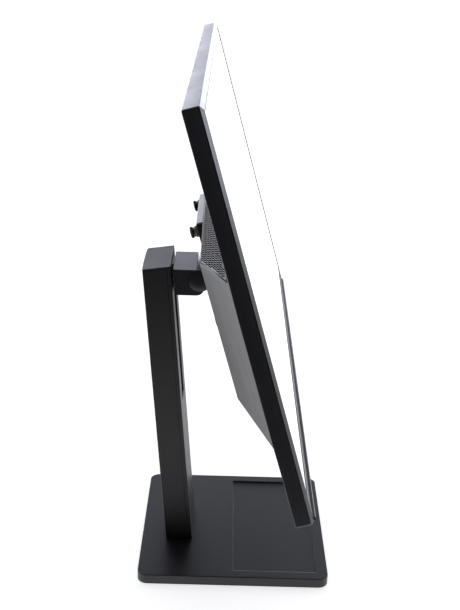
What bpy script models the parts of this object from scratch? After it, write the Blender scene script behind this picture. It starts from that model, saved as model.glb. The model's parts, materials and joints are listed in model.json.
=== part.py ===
"""Desk monitor on a height-adjustable stand, as an assembly of named sub-parts.

Units are metres, +Z is up. The screen faces -Y and its width runs along X. The origin is at the
centre of the base, on the surface that its rubber feet stand on. Everything on the display is
placed in the display's own frame, whose Y runs back from the screen and whose Z runs up it, and
everything on the column in the column's own frame, whose Z runs up the leaning column.
"""

import math

import bmesh
import bpy
from mathutils import Matrix, Vector

GAP = 0.0003            # clearance between neighbouring pieces
EDGE = 0.0008           # small softened edge on moulded pieces

# base
FOOT_DROP = 0.0015      # how far the rubber feet stand below the base
BASE_WIDTH = 0.2145
BASE_DEPTH = 0.212
BASE_HEIGHT = 0.0115
BASE_CORNER = 0.0115
BASE_WALL = 0.0025
BASE_TOP = FOOT_DROP + BASE_HEIGHT
BASE_CEILING = 0.0090   # underside of the cover's roof
RECESS_DEPTH = 0.0017
RECESS_MARGIN = 0.0130
RECESS_REAR = -0.0005   # Y of the tray recess's rear edge
FOOT_RADIUS = 0.0085
FOOT_INSET = 0.0210

# swivel under the column
SWIVEL_Y = 0.0628
HUB_RADIUS = 0.0120
SHAFT_RADIUS = 0.0100
BEARING_RADIUS = 0.0157

# column
COLUMN_LEAN = math.radians(4.7)
COLUMN_WIDTH = 0.0740
COLUMN_DEPTH = 0.0300
COLUMN_CROWN = 0.0010   # how far the middle of the rear wall stands proud of its edges
COLUMN_WALL = 0.0022
COLUMN_TOP = 0.3345     # height of the column's top along its own axis, at its middle
TOP_DROP = math.radians(3.7)
COVER_RETURN = 0.0040
SLOT_HALF = 0.0140
SLOT_LOW = 0.1680
SLOT_HIGH = 0.3315

# carriage and head
CARRIAGE_LOW = 0.3020
CARRIAGE_HIGH = 0.3300
RAIL_RADIUS = 0.0030
RAIL_X = 0.0215
HEAD_HALF = 0.0308
HEAD_TOP = 0.3433
HEAD_BOTTOM = 0.3145
HEAD_REAR_TOP = 0.0730
HEAD_REAR_BOTTOM = 0.0700
HEAD_CORNER = 0.0086
TILT_Y = 0.0445
TILT_Z = 0.3310
BARREL_RADIUS = 0.0123

# display, in its own frame: Y is depth behind the bezel's front, Z is height from the pivot axis
PANEL_TILT = math.radians(16.1)
PIVOT_Y = -0.0216
PIVOT_Z = 0.3601
PANEL_WIDTH = 0.6110
PANEL_TOP = 0.2140
PANEL_BOTTOM = -0.1520
SIDE_BEZEL = 0.0066
CHIN = 0.0235
BEZEL_CHAMFER = 0.0046
BEZEL_BACK = 0.0031
COVER_FRONT = BEZEL_BACK + GAP
RIM_DEPTH = 0.0165
BULGE_DEPTH = 0.0485
COVER_WALL = 0.0022
SKIN = 0.0024           # rear cover's wall, measured front to back
GROOVE_LOW = 0.0050     # chin groove, measured up from the bottom edge
GROOVE_HIGH = 0.0180
GROOVE_HALF = 0.2940
GROOVE_DEPTH = 0.0016
LIP = 0.0020            # how far the chin's lower lip stands proud

# the bulge's outline where it meets the rim, and its flat back, right-hand side only
CREST_X, CREST_Z = 0.1780, 0.1510       # top of the upper slope
SHOULDER_Z = 0.0720                     # where the upper corner facet meets the side
HIP_Z = -0.0726                         # where the lower corner facet meets the side
HEEL_X = 0.2050                         # where the lower corner facet meets the bottom edge
BACK_X, BACK_TOP, BACK_BOTTOM = 0.1830, 0.0570, -0.0800

# mounting plate and pivot
PLATE_HALF = 0.0600
PLATE_CORNER = 0.0040
PLATE_FRONT = 0.0490
PLATE_BACK = 0.0560
SCREW_PITCH = 0.1000
SCREW_HEAD = 0.0060
SCREW_SHANK = 0.0019
HUB_OUTER = 0.0265
KEEPER_OUTER = 0.0300
FLANGE_BACK = 0.0586

# sockets and buttons
IO_LOW, IO_HIGH = -0.1240, -0.1000      # height range of the socket recess
IO_LEFT, IO_RIGHT = 0.0500, 0.1600
SOCKET_DEPTH = 0.0265                   # middle of the sockets, front to back
BUTTON_PITCH = 0.0160
BUTTON_FIRST = 0.2050
LIGHT_X = 0.2820
# each socket's name, x, width and height of its body, width and height of its mouth, and depth
SOCKETS = (("power_inlet", 0.0690, 0.0270, 0.0190, 0.0240, 0.0160, 0.0150),
           ("video_socket_a", 0.1020, 0.0170, 0.0070, 0.0150, 0.0052, 0.0090),
           ("video_socket_b", 0.1270, 0.0170, 0.0070, 0.0150, 0.0052, 0.0090),
           ("audio_socket", 0.1480, 0.0090, 0.0090, 0.0050, 0.0050, 0.0120))
BUTTONS = ("menu_button_1", "menu_button_2", "menu_button_3", "power_button")
BUTTON_HALF_X, BUTTON_HALF_Y = 0.0045, 0.0025

MATERIALS = {
    "base_plastic": ((0.045, 0.047, 0.058), 0.42, 0.0),
    "column_plastic": ((0.022, 0.022, 0.026), 0.45, 0.0),
    "head_plastic": ((0.030, 0.031, 0.040), 0.45, 0.0),
    "cover_plastic": ((0.050, 0.050, 0.056), 0.50, 0.0),
    "bezel_plastic": ((0.060, 0.060, 0.064), 0.38, 0.0),
    "strip_plastic": ((0.090, 0.090, 0.095), 0.30, 0.0),
    "button_plastic": ((0.030, 0.030, 0.033), 0.35, 0.0),
    "bearing_plastic": ((0.55, 0.55, 0.52), 0.45, 0.0),
    "foot_rubber": ((0.020, 0.020, 0.020), 0.85, 0.0),
    "steel": ((0.42, 0.42, 0.43), 0.35, 1.0),
    "painted_steel": ((0.020, 0.020, 0.024), 0.50, 0.0),
    "rail_steel": ((0.55, 0.55, 0.56), 0.20, 1.0),
    "screw_metal": ((0.120, 0.120, 0.105), 0.38, 1.0),
    "screen": ((0.90, 0.90, 0.92), 0.25, 0.0),
    "light_guide": ((0.85, 0.87, 0.88), 0.15, 0.0),
    "circuit_board": ((0.020, 0.110, 0.050), 0.45, 0.0),
    "aluminium": ((0.62, 0.62, 0.64), 0.35, 1.0),
    "socket_plastic": ((0.012, 0.012, 0.013), 0.40, 0.0),
    "light_lens": ((0.80, 0.85, 0.90), 0.20, 0.0),
}


def clear_scene():
    for ob in list(bpy.data.objects):
        bpy.data.objects.remove(ob, do_unlink=True)


def material(name):
    made = bpy.data.materials.get(name)
    if made is None:
        made = bpy.data.materials.new(name)
        made.use_nodes = True
        colour, roughness, metallic = MATERIALS[name]
        shader = made.node_tree.nodes["Principled BSDF"]
        shader.inputs["Base Color"].default_value = (*colour, 1.0)
        shader.inputs["Roughness"].default_value = roughness
        shader.inputs["Metallic"].default_value = metallic
    return made


def empty(name, location, turn=0.0, parent=None):
    """An empty on a joint's axis; turn is its rotation about X."""
    ob = bpy.data.objects.new(name, None)
    ob.empty_display_size = 0.02
    bpy.context.collection.objects.link(ob)
    world = Matrix.Translation(location) @ Matrix.Rotation(turn, 4, "X")
    if parent:
        ob.parent = parent
        world = parent_world(parent).inverted() @ world
    ob.matrix_basis = world
    return ob


def parent_world(ob):
    world = ob.matrix_basis.copy()
    while ob.parent:
        ob = ob.parent
        world = ob.matrix_basis @ world
    return world


def place(mesh_maker, name, finish, parent, smooth=False):
    """Make one object from a bmesh, give it its material and hang it on its parent empty."""
    mesh = bpy.data.meshes.new(name)
    bmesh.ops.recalc_face_normals(mesh_maker, faces=mesh_maker.faces[:])
    mesh_maker.to_mesh(mesh)
    mesh_maker.free()
    if finish:
        mesh.materials.append(material(finish))
    ob = bpy.data.objects.new(name, mesh)
    bpy.context.collection.objects.link(ob)
    ob.parent = parent
    if smooth:
        mesh.shade_smooth()
        mesh.set_sharp_from_angle(angle=math.radians(35))
    return ob


def box(low, high):
    """A block between two opposite corners."""
    made = bmesh.new()
    size = Vector(high) - Vector(low)
    middle = (Vector(high) + Vector(low)) / 2
    bmesh.ops.create_cube(made, size=1.0, matrix=Matrix.Translation(middle) @ Matrix.Diagonal((*size, 1.0)))
    return made


def prism(outline, low, high):
    """A polygon in XY carried up from low to high; either end may be a number or a function of x, y."""
    made = bmesh.new()
    ends = []
    for end in (low, high):
        level = end if callable(end) else (lambda x, y, z=end: z)
        ends.append([made.verts.new((x, y, level(x, y))) for x, y in outline])
    made.faces.new(ends[0][::-1])
    made.faces.new(ends[1])
    count = len(outline)
    for i in range(count):
        j = (i + 1) % count
        made.faces.new((ends[0][i], ends[0][j], ends[1][j], ends[1][i]))
    return made


def side_prism(outline, low_x, high_x):
    """A polygon in YZ carried across from low_x to high_x."""
    made = prism([(y, z) for y, z in outline], low_x, high_x)
    turn = Matrix(((0, 0, 1, 0), (1, 0, 0, 0), (0, 1, 0, 0), (0, 0, 0, 1)))
    bmesh.ops.transform(made, matrix=turn, verts=made.verts[:])
    return made


def depth_prism(outline, front, back):
    """A polygon in XZ carried back from front to back; either end may be a function of x, z."""
    made = prism(outline, front, back)
    turn = Matrix(((1, 0, 0, 0), (0, 0, 1, 0), (0, 1, 0, 0), (0, 0, 0, 1)))
    bmesh.ops.transform(made, matrix=turn, verts=made.verts[:])
    return made


def turned(profile, segments=24, along="Z", centre=(0, 0, 0)):
    """A closed profile of (radius, height) points turned about an axis through centre."""
    made = bmesh.new()
    rings = []
    for radius, height in profile:
        if radius == 0:
            rings.append([made.verts.new((0, 0, height))])
            continue
        steps = [2 * math.pi * i / segments for i in range(segments)]
        rings.append([made.verts.new((radius * math.cos(a), radius * math.sin(a), height)) for a in steps])
    closed = profile[0][0] > 0 and profile[-1][0] > 0
    pairs = list(zip(rings, rings[1:])) + ([(rings[-1], rings[0])] if closed else [])
    for low, high in pairs:
        for i in range(segments):
            j = (i + 1) % segments
            corners = [low[i % len(low)], low[j % len(low)], high[j % len(high)], high[i % len(high)]]
            made.faces.new(list(dict.fromkeys(corners)))
    turns = {"Z": Matrix.Identity(4), "Y": Matrix.Rotation(-math.pi / 2, 4, "X"),
             "X": Matrix.Rotation(math.pi / 2, 4, "Y")}
    bmesh.ops.transform(made, matrix=Matrix.Translation(centre) @ turns[along], verts=made.verts[:])
    return made


def rounded_rectangle(half_x, half_y, radius, steps=5, middle=(0.0, 0.0)):
    points = []
    for sx, sy, start in ((1, 1, 0), (-1, 1, 90), (-1, -1, 180), (1, -1, 270)):
        for i in range(steps + 1):
            angle = math.radians(start + 90 * i / steps)
            points.append((middle[0] + sx * (half_x - radius) + radius * math.cos(angle),
                           middle[1] + sy * (half_y - radius) + radius * math.sin(angle)))
    return points


def arc(centre, radius, start, end, steps):
    """Points on an arc in a plane, angles in degrees."""
    return [(centre[0] + radius * math.cos(math.radians(start + (end - start) * i / steps)),
             centre[1] + radius * math.sin(math.radians(start + (end - start) * i / steps)))
            for i in range(steps + 1)]


def joined(parts):
    """Several closed shapes in one cutter mesh."""
    made = bmesh.new()
    for part in parts:
        mesh = bpy.data.meshes.new("joined")
        part.to_mesh(mesh)
        part.free()
        made.from_mesh(mesh)
        bpy.data.meshes.remove(mesh)
    return made


def cut(ob, shapes, name):
    """Cut closed shapes out of an object with one live Boolean."""
    cutter = place(joined(shapes), name, None, ob.parent)
    cutter.hide_render = True
    cutter.display_type = "WIRE"
    change = ob.modifiers.new("cut", "BOOLEAN")
    change.operation = "DIFFERENCE"
    change.solver = "EXACT"
    change.object = cutter
    return ob


def join(ob, shape, name):
    """Grow an object by a closed shape that overlaps it, with one live Boolean."""
    helper = place(shape, name, None, ob.parent)
    helper.hide_render = True
    helper.display_type = "WIRE"
    change = ob.modifiers.new("join", "BOOLEAN")
    change.operation = "UNION"
    change.solver = "EXACT"
    change.object = helper
    return ob


def soften(ob, width=EDGE, segments=1, angle=40):
    change = ob.modifiers.new("edge", "BEVEL")
    change.width = width
    change.segments = segments
    change.limit_method = "ANGLE"
    change.angle_limit = math.radians(angle)
    change.harden_normals = False
    return ob


# ---------------------------------------------------------------- base

def make_base(root):
    outline = rounded_rectangle(BASE_WIDTH / 2, BASE_DEPTH / 2, BASE_CORNER, 6)
    cover = place(prism(outline, FOOT_DROP, BASE_TOP), "base_cover", "base_plastic", root)
    soften(cover, EDGE, 1, 60)
    inner_x, inner_y = BASE_WIDTH / 2 - BASE_WALL, BASE_DEPTH / 2 - BASE_WALL
    hollow = prism(rounded_rectangle(inner_x, inner_y, BASE_CORNER - BASE_WALL, 4),
                   FOOT_DROP - 0.002, BASE_CEILING)
    front, rear = -BASE_DEPTH / 2 + RECESS_MARGIN, RECESS_REAR
    recess = prism(rounded_rectangle(BASE_WIDTH / 2 - RECESS_MARGIN, (rear - front) / 2, 0.0015, 2,
                                     (0.0, (rear + front) / 2)), BASE_TOP - RECESS_DEPTH, BASE_TOP + 0.002)
    well = turned([(0, 0.004), (HUB_RADIUS + GAP, 0.004), (HUB_RADIUS + GAP, 0.02), (0, 0.02)], 32, "Z",
                  (0, SWIVEL_Y, 0))
    cut(cover, [hollow], "base_hollow_cutter")
    cut(cover, [recess, well], "base_top_cutter")

    plate_x, plate_y = inner_x - GAP, inner_y - GAP
    corner = BASE_CORNER - BASE_WALL - GAP
    bottom = place(prism(rounded_rectangle(plate_x, plate_y, corner, 4), FOOT_DROP + GAP, FOOT_DROP + 0.0015),
                   "base_bottom_plate", "painted_steel", root)
    weight = place(prism(rounded_rectangle(plate_x - 0.006, plate_y - 0.006, 0.004, 3), 0.0035, 0.0085),
                   "base_weight_plate", "steel", root)
    cut(bottom, [turned([(0, -0.01), (0.0145, -0.01), (0.0145, 0.01), (0, 0.01)], 24, "Z", (0, SWIVEL_Y, 0))],
        "bottom_plate_cutter")
    cut(weight, [turned([(0, -0.01), (BEARING_RADIUS + GAP, -0.01), (BEARING_RADIUS + GAP, 0.02), (0, 0.02)],
                        24, "Z", (0, SWIVEL_Y, 0))], "weight_plate_cutter")
    place(turned([(SHAFT_RADIUS + GAP, 0.0037), (BEARING_RADIUS, 0.0037), (BEARING_RADIUS, 0.0086),
                  (SHAFT_RADIUS + GAP, 0.0086)], 24, "Z", (0, SWIVEL_Y, 0)),
          "swivel_bearing", "bearing_plastic", root, True)

    x, y = BASE_WIDTH / 2 - FOOT_INSET, BASE_DEPTH / 2 - FOOT_INSET
    profile = [(0, 0), (FOOT_RADIUS - 0.0006, 0), (FOOT_RADIUS, 0.0006), (FOOT_RADIUS, FOOT_DROP),
               (0, FOOT_DROP)]
    for name, cx, cy in (("front_left", -x, -y), ("front_right", x, -y), ("rear_left", -x, y),
                         ("rear_right", x, y)):
        place(turned(profile, 20, "Z", (cx, cy, 0)), "foot_" + name, "foot_rubber", root, True)


# ---------------------------------------------------------------- column

def make_swivel(swivel):
    """The hub that turns in the base, with its retaining washer and bolt; heights are from the floor."""
    hub = [(0, 0.0165), (HUB_RADIUS, 0.0165), (HUB_RADIUS, 0.0092), (SHAFT_RADIUS, 0.0092),
           (SHAFT_RADIUS, 0.0036), (0.0034, 0.0036), (0.0034, 0.0140), (0, 0.0140)]
    place(turned(hub), "swivel_hub", "steel", swivel, True)
    washer = [(0.0034, 0.0026), (0.0130, 0.0026), (0.0130, 0.0033), (0.0034, 0.0033)]
    place(turned(washer), "swivel_washer", "steel", swivel, True)
    bolt = [(0, 0.0017), (0.0055, 0.0017), (0.0055, 0.0023), (0.0030, 0.0023), (0.0030, 0.0132), (0, 0.0132)]
    place(turned(bolt, 16), "swivel_bolt", "rail_steel", swivel, True)


def foot_level(height):
    """Where a level plane, height above the base, crosses the leaning column's frame."""
    return lambda x, y: (height + y * math.sin(COLUMN_LEAN)) / math.cos(COLUMN_LEAN)


def top_level(drop):
    """The column's sloping top, drop below it."""
    return lambda x, y: COLUMN_TOP - drop - y * math.tan(TOP_DROP)


def make_column(column):
    half, front, rear = COLUMN_WIDTH / 2, -COLUMN_DEPTH / 2, COLUMN_DEPTH / 2
    seam = front + COVER_RETURN
    crown = [(half * math.cos(math.radians(a)), rear + COLUMN_CROWN * math.sin(math.radians(a)))
             for a in range(0, 181, 20)]
    inner_x, inner_rear = half - COLUMN_WALL, rear - COLUMN_WALL
    inner = [(-half, seam + GAP), (-inner_x, seam + GAP), (-inner_x, inner_rear), (inner_x, inner_rear),
             (inner_x, seam + GAP)]
    shell = [(half, seam + GAP)] + crown + inner
    place(prism(shell, foot_level(GAP), top_level(0.0)), "column_rear_shell", "column_plastic", column)

    cover = [(-half, seam), (-half, front + EDGE), (-half + EDGE, front), (half - EDGE, front),
             (half, front + EDGE), (half, seam), (inner_x, seam), (inner_x, front + COLUMN_WALL),
             (-inner_x, front + COLUMN_WALL), (-inner_x, seam)]
    front_cover = place(prism(cover, foot_level(GAP), top_level(0.0)), "column_front_cover", "column_plastic",
                        column)
    cut(front_cover, [box((-SLOT_HALF, front - 0.01, SLOT_LOW), (SLOT_HALF, front + 0.01, SLOT_HIGH))],
        "slot_cutter")

    lid = [(-inner_x + GAP, front + COLUMN_WALL + GAP), (inner_x - GAP, front + COLUMN_WALL + GAP),
           (inner_x - GAP, inner_rear - GAP), (-inner_x + GAP, inner_rear - GAP)]
    place(prism(lid, top_level(0.0018), top_level(0.0002)), "column_top_cap", "column_plastic", column)

    place(prism([(-0.031, -0.0105), (0.031, -0.0105), (0.031, 0.0115), (-0.031, 0.0115)],
                foot_level(0.0038), foot_level(0.0068)), "spine_foot", "steel", column)
    spine = [(-0.030, 0.0055), (-0.030, 0.0120), (0.030, 0.0120), (0.030, 0.0055), (0.028, 0.0055),
             (0.028, 0.0100), (-0.028, 0.0100), (-0.028, 0.0055)]
    place(prism(spine, foot_level(0.0072), 0.3310), "column_spine", "steel", column)
    for name, x in (("left", -RAIL_X), ("right", RAIL_X)):
        rod = [(0, 0.0200), (RAIL_RADIUS, 0.0200), (RAIL_RADIUS, 0.3305), (0, 0.3305)]
        place(turned(rod, 16, "Z", (x, 0.0020, 0)), "guide_rail_" + name, "rail_steel", column, True)

    tube = [(0, 0.0085), (0.0070, 0.0085), (0.0070, 0.1600), (0.0034, 0.1600), (0.0034, 0.0160), (0, 0.0160)]
    place(turned(tube, 20, "Z", (0, 0.0010, 0)), "lift_spring_tube", "painted_steel", column, True)


def make_carriage(lift):
    """The block that runs on the rails, its bushes, and the spring's rod under it."""
    block = [(-0.0285, 0.0050), (-0.0285, -0.0060), (-0.0120, -0.0060), (-0.0120, -0.0165),
             (0.0120, -0.0165), (0.0120, -0.0060), (0.0285, -0.0060), (0.0285, 0.0050)]
    carriage = place(prism(block, CARRIAGE_LOW, CARRIAGE_HIGH), "lift_carriage", "aluminium", lift)
    slots = [box((x - 0.0048, -0.0028, 0.28), (x + 0.0048, 0.02, 0.36)) for x in (-RAIL_X, RAIL_X)]
    cut(carriage, slots, "carriage_cutter")
    for name, x in (("left", -RAIL_X), ("right", RAIL_X)):
        bush = place(box((x - 0.0045, -0.0025, CARRIAGE_LOW + 0.001),
                         (x + 0.0045, 0.0052, CARRIAGE_HIGH - 0.001)),
                     "slide_bush_" + name, "bearing_plastic", lift)
        bore = turned([(0, 0.28), (RAIL_RADIUS + 0.0002, 0.28), (RAIL_RADIUS + 0.0002, 0.36), (0, 0.36)],
                      16, "Z", (x, 0.0020, 0))
        mouth = box((x - 0.0020, 0.0020, 0.28), (x + 0.0020, 0.02, 0.36))
        cut(bush, [bore], "bush_bore_cutter_" + name)
        cut(bush, [mouth], "bush_mouth_cutter_" + name)
    rod = [(0, 0.1520), (0.0030, 0.1520), (0.0030, CARRIAGE_LOW - GAP), (0, CARRIAGE_LOW - GAP)]
    place(turned(rod, 16, "Z", (0, 0.0010, 0)), "lift_spring_rod", "rail_steel", lift, True)


# ---------------------------------------------------------------- head

def make_head(lift_world):
    """The block in front of the column, with a round seat at its front for the tilting barrel."""
    seat = (TILT_Y, TILT_Z)
    seat_radius = BARREL_RADIUS + GAP
    lip = math.degrees(math.acos(0.0038 / seat_radius))
    corner = (TILT_Y + 0.0036, HEAD_BOTTOM + HEAD_CORNER)
    outline = ([(HEAD_REAR_BOTTOM, HEAD_BOTTOM), (HEAD_REAR_TOP, HEAD_TOP), (TILT_Y + 0.0038, HEAD_TOP)]
               + arc(seat, seat_radius, lip, -106, 12)
               + arc(corner, HEAD_CORNER, -150, -90, 5))
    housing = place(side_prism(outline, -HEAD_HALF, HEAD_HALF), "head_housing", "head_plastic", lift_world)
    pin = box((-0.0240, TILT_Y + BARREL_RADIUS + 0.0030, HEAD_BOTTOM + 0.0040),
              (0.0240, HEAD_REAR_TOP + 0.01, HEAD_TOP - 0.0040))
    cut(housing, [pin], "head_hollow_cutter")
    place(box((-0.0237, TILT_Y + BARREL_RADIUS + 0.0033, HEAD_BOTTOM + 0.0043),
              (0.0237, 0.0690, HEAD_TOP - 0.0043)), "head_bracket", "steel", lift_world)


def make_tilt(tilt):
    """The barrel and what turns with it; positions are from the tilt axis, in the display's frame."""
    barrel = [(0.0033, -HEAD_HALF), (BARREL_RADIUS, -HEAD_HALF), (BARREL_RADIUS, HEAD_HALF),
              (0.0033, HEAD_HALF)]
    place(turned(barrel, 36, "X"), "tilt_barrel", "head_plastic", tilt, True)
    pin = [(0, -HEAD_HALF + 0.001), (0.0030, -HEAD_HALF + 0.001), (0.0030, HEAD_HALF - 0.001),
           (0, HEAD_HALF - 0.001)]
    place(turned(pin, 16, "X"), "tilt_pin", "rail_steel", tilt, True)


def make_pivot(pivot_fixed):
    """The steel flange on the barrel, the hub that the plate turns on and the keeper in front of it."""
    flange = rounded_rectangle(0.0260, 0.0250, 0.006, 4)
    place(depth_prism(flange, PLATE_BACK + GAP * 2, FLANGE_BACK), "tilt_flange", "painted_steel", pivot_fixed)
    hub = [(0, PLATE_BACK + GAP), (HUB_OUTER, PLATE_BACK + GAP), (HUB_OUTER, 0.0512), (0, 0.0512)]
    place(turned(hub, 36, "Y"), "pivot_hub", "steel", pivot_fixed, True)
    keeper = [(0, 0.0509), (KEEPER_OUTER, 0.0509), (KEEPER_OUTER, 0.0494), (0, 0.0494)]
    place(turned(keeper, 36, "Y"), "pivot_keeper", "steel", pivot_fixed, True)


def screw_places():
    reach = SCREW_PITCH / 2
    return [("upper_left", -reach, reach), ("upper_right", reach, reach),
            ("lower_left", -reach, -reach), ("lower_right", reach, -reach)]


def screw_holes(radius, front, back):
    return [turned([(0, front), (radius, front), (radius, back), (0, back)], 16, "Y", (x, 0, z))
            for _, x, z in screw_places()]


def make_mount(display):
    """The square plate, its four thumb screws and the frame inside that they screw into."""
    face = rounded_rectangle(PLATE_HALF, PLATE_HALF, PLATE_CORNER, 3)
    plate = place(depth_prism(face, PLATE_FRONT, PLATE_BACK),
                  "mount_plate", "head_plastic", display)
    hole, step = HUB_OUTER + GAP, KEEPER_OUTER + GAP
    bore = turned([(0, 0.04), (step, 0.04), (step, 0.0511), (hole, 0.0511), (hole, 0.07), (0, 0.07)], 36, "Y")
    cut(plate, [bore] + screw_holes(SCREW_SHANK + GAP, 0.04, 0.07), "plate_cutter")
    for name, x, z in screw_places():
        head = PLATE_BACK + GAP
        waist = SCREW_HEAD - 0.0010
        profile = [(0, 0.0440), (SCREW_SHANK, 0.0440), (SCREW_SHANK, head), (SCREW_HEAD, head),
                   (SCREW_HEAD, head + 0.0020), (waist, head + 0.0032), (waist, head + 0.0048),
                   (SCREW_HEAD, head + 0.0060), (SCREW_HEAD, head + 0.0080), (0, head + 0.0080)]
        place(turned(profile, 16, "Y", (x, 0, z)), "mount_screw_" + name, "screw_metal", display, True)

    reach, outer, foot = 0.0540, 0.0650, 0.0780
    top, low = 0.0440, 0.0100
    hat = [(-foot, low), (-outer, low), (-outer, top), (outer, top), (outer, low), (foot, low),
           (foot, low + 0.0015), (outer + 0.0015, low + 0.0015), (outer + 0.0015, top + 0.0012),
           (-outer - 0.0015, top + 0.0012), (-outer - 0.0015, low + 0.0015), (-foot, low + 0.0015)]
    frame = place(prism(hat, -reach, reach), "mount_frame", "steel", display)
    cut(frame, screw_holes(SCREW_SHANK + GAP, 0.03, 0.07), "frame_cutter")


# ---------------------------------------------------------------- display shells

def bulge_depth(x, z):
    """Depth of the rear cover's outer face at a point of the bulge: the nearest of its facets."""
    rise = BULGE_DEPTH - RIM_DEPTH
    x = abs(x)
    side = RIM_DEPTH + rise * (PANEL_WIDTH / 2 - x) / (PANEL_WIDTH / 2 - BACK_X)
    upper = RIM_DEPTH + rise * (CREST_Z - z) / (CREST_Z - BACK_TOP)
    lower = RIM_DEPTH + rise * (z - PANEL_BOTTOM) / (BACK_BOTTOM - PANEL_BOTTOM)
    back = Vector((BACK_X, BACK_TOP, BULGE_DEPTH))
    shoulder = Vector((PANEL_WIDTH / 2, SHOULDER_Z, RIM_DEPTH))
    vent = plane_depth(back, shoulder, Vector((CREST_X, CREST_Z, RIM_DEPTH)), x, z)
    heel = plane_depth(Vector((BACK_X, BACK_BOTTOM, BULGE_DEPTH)), Vector((PANEL_WIDTH / 2, HIP_Z, RIM_DEPTH)),
                       Vector((HEEL_X, PANEL_BOTTOM, RIM_DEPTH)), x, z)
    return max(RIM_DEPTH, min(BULGE_DEPTH, side, upper, lower, vent, heel))


def plane_depth(a, b, c, x, z):
    """Depth at x, z of the plane through three points given as (x, z, depth)."""
    normal = (b - a).cross(c - a)
    return a.z - (normal.x * (x - a.x) + normal.y * (z - a.y)) / normal.z


def cover_solid(scale=1.0, shift=0.0, front=COVER_FRONT):
    """The rear cover's whole outer form as one closed solid of flat facets, or a smaller copy of it."""
    made = bmesh.new()
    half = PANEL_WIDTH / 2
    middle = (PANEL_TOP + PANEL_BOTTOM) / 2
    places = {"front_top": (half, front + shift, PANEL_TOP), "front_bottom": (half, front + shift, PANEL_BOTTOM),
              "rim_top": (half, RIM_DEPTH, PANEL_TOP), "rim_bottom": (half, RIM_DEPTH, PANEL_BOTTOM),
              "crest": (CREST_X, RIM_DEPTH, CREST_Z), "shoulder": (half, RIM_DEPTH, SHOULDER_Z),
              "hip": (half, RIM_DEPTH, HIP_Z), "heel": (HEEL_X, RIM_DEPTH, PANEL_BOTTOM),
              "back_top": (BACK_X, BULGE_DEPTH, BACK_TOP), "back_bottom": (BACK_X, BULGE_DEPTH, BACK_BOTTOM)}
    p = {}
    for name, (x, y, z) in places.items():
        for end, sign in (("_l", -scale), ("_r", scale)):
            p[name + end] = made.verts.new((sign * x, y - shift, middle + (z - middle) * scale))
    faces = [("back_top_l", "back_top_r", "back_bottom_r", "back_bottom_l"),
             ("crest_l", "crest_r", "back_top_r", "back_top_l"),
             ("heel_r", "heel_l", "back_bottom_l", "back_bottom_r"),
             ("front_top_l", "front_top_r", "rim_top_r", "rim_top_l"),
             ("front_top_l", "front_top_r", "front_bottom_r", "front_bottom_l"),
             ("rim_top_l", "rim_top_r", "shoulder_r", "crest_r", "crest_l", "shoulder_l"),
             ("front_bottom_l", "front_bottom_r", "rim_bottom_r", "heel_r", "heel_l", "rim_bottom_l")]
    sides = [("back_top", "shoulder", "hip", "back_bottom"), ("crest", "shoulder", "back_top"),
             ("hip", "heel", "back_bottom"), ("rim_bottom", "heel", "hip"),
             ("front_top", "rim_top", "shoulder", "hip", "rim_bottom", "front_bottom")]
    faces += [tuple(name + end for name in names) for names in sides for end in ("_l", "_r")]
    for names in faces:
        made.faces.new([p[name] for name in names])
    return made


def shrunk(outline, amount):
    """A convex outline with every edge moved in by amount."""
    count = len(outline)
    area = sum(outline[i][0] * outline[(i + 1) % count][1] - outline[(i + 1) % count][0] * outline[i][1]
               for i in range(count))
    inward = 1 if area > 0 else -1
    lines = []
    for i in range(count):
        a, b = Vector(outline[i]), Vector(outline[(i + 1) % count])
        along = (b - a).normalized()
        lines.append((a + Vector((-along.y, along.x)) * inward * amount, along))
    points = []
    for i in range(count):
        (a, u), (b, v) = lines[i - 1], lines[i]
        step = (b - a).cross(v) / u.cross(v)
        points.append(tuple(a + u * step))
    return points


def vent_outlines():
    """The three vented areas, on the upper slope and on the two upper corner facets."""
    half = PANEL_WIDTH / 2
    top = [(-CREST_X, CREST_Z), (-BACK_X, BACK_TOP), (BACK_X, BACK_TOP), (CREST_X, CREST_Z)]
    left = [(-half, SHOULDER_Z), (-BACK_X, BACK_TOP), (-CREST_X, CREST_Z)]
    right = [(-x, z) for x, z in left]
    return {"top": shrunk(top, 0.007), "left": shrunk(left, 0.004), "right": shrunk(right, 0.004)}


def make_rear_cover(display):
    cover = place(cover_solid(), "rear_cover", "cover_plastic", display)
    inner_scale = 1 - COVER_WALL / (PANEL_WIDTH / 2)
    cut(cover, [cover_solid(inner_scale, SKIN, COVER_FRONT - 0.01)], "cover_hollow_cutter")
    windows = [depth_prism(outline, 0.0105, 0.0600) for outline in vent_outlines().values()]
    sockets = box((IO_LEFT, 0.0160, IO_LOW), (IO_RIGHT, 0.0600, IO_HIGH))
    buttons = [box((x - 0.0048, 0.0057, PANEL_BOTTOM - 0.01), (x + 0.0048, 0.0113, PANEL_BOTTOM + 0.0045))
               for x in button_places()]
    cut(cover, windows, "vent_cutter")
    cut(cover, [sockets] + buttons, "cover_opening_cutter")
    opening = rounded_rectangle(PLATE_HALF + GAP, PLATE_HALF + GAP, PLATE_CORNER + GAP, 3)
    cut(cover, [depth_prism(opening, 0.03, 0.07)], "plate_opening_cutter")
    for name, outline in vent_outlines().items():
        edge = shrunk(outline, GAP)
        place(depth_prism(edge, lambda x, z: bulge_depth(x, z) - 0.0018, lambda x, z: bulge_depth(x, z) - 0.0004),
              "vent_grille_" + name, "cover_plastic", display)


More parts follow.
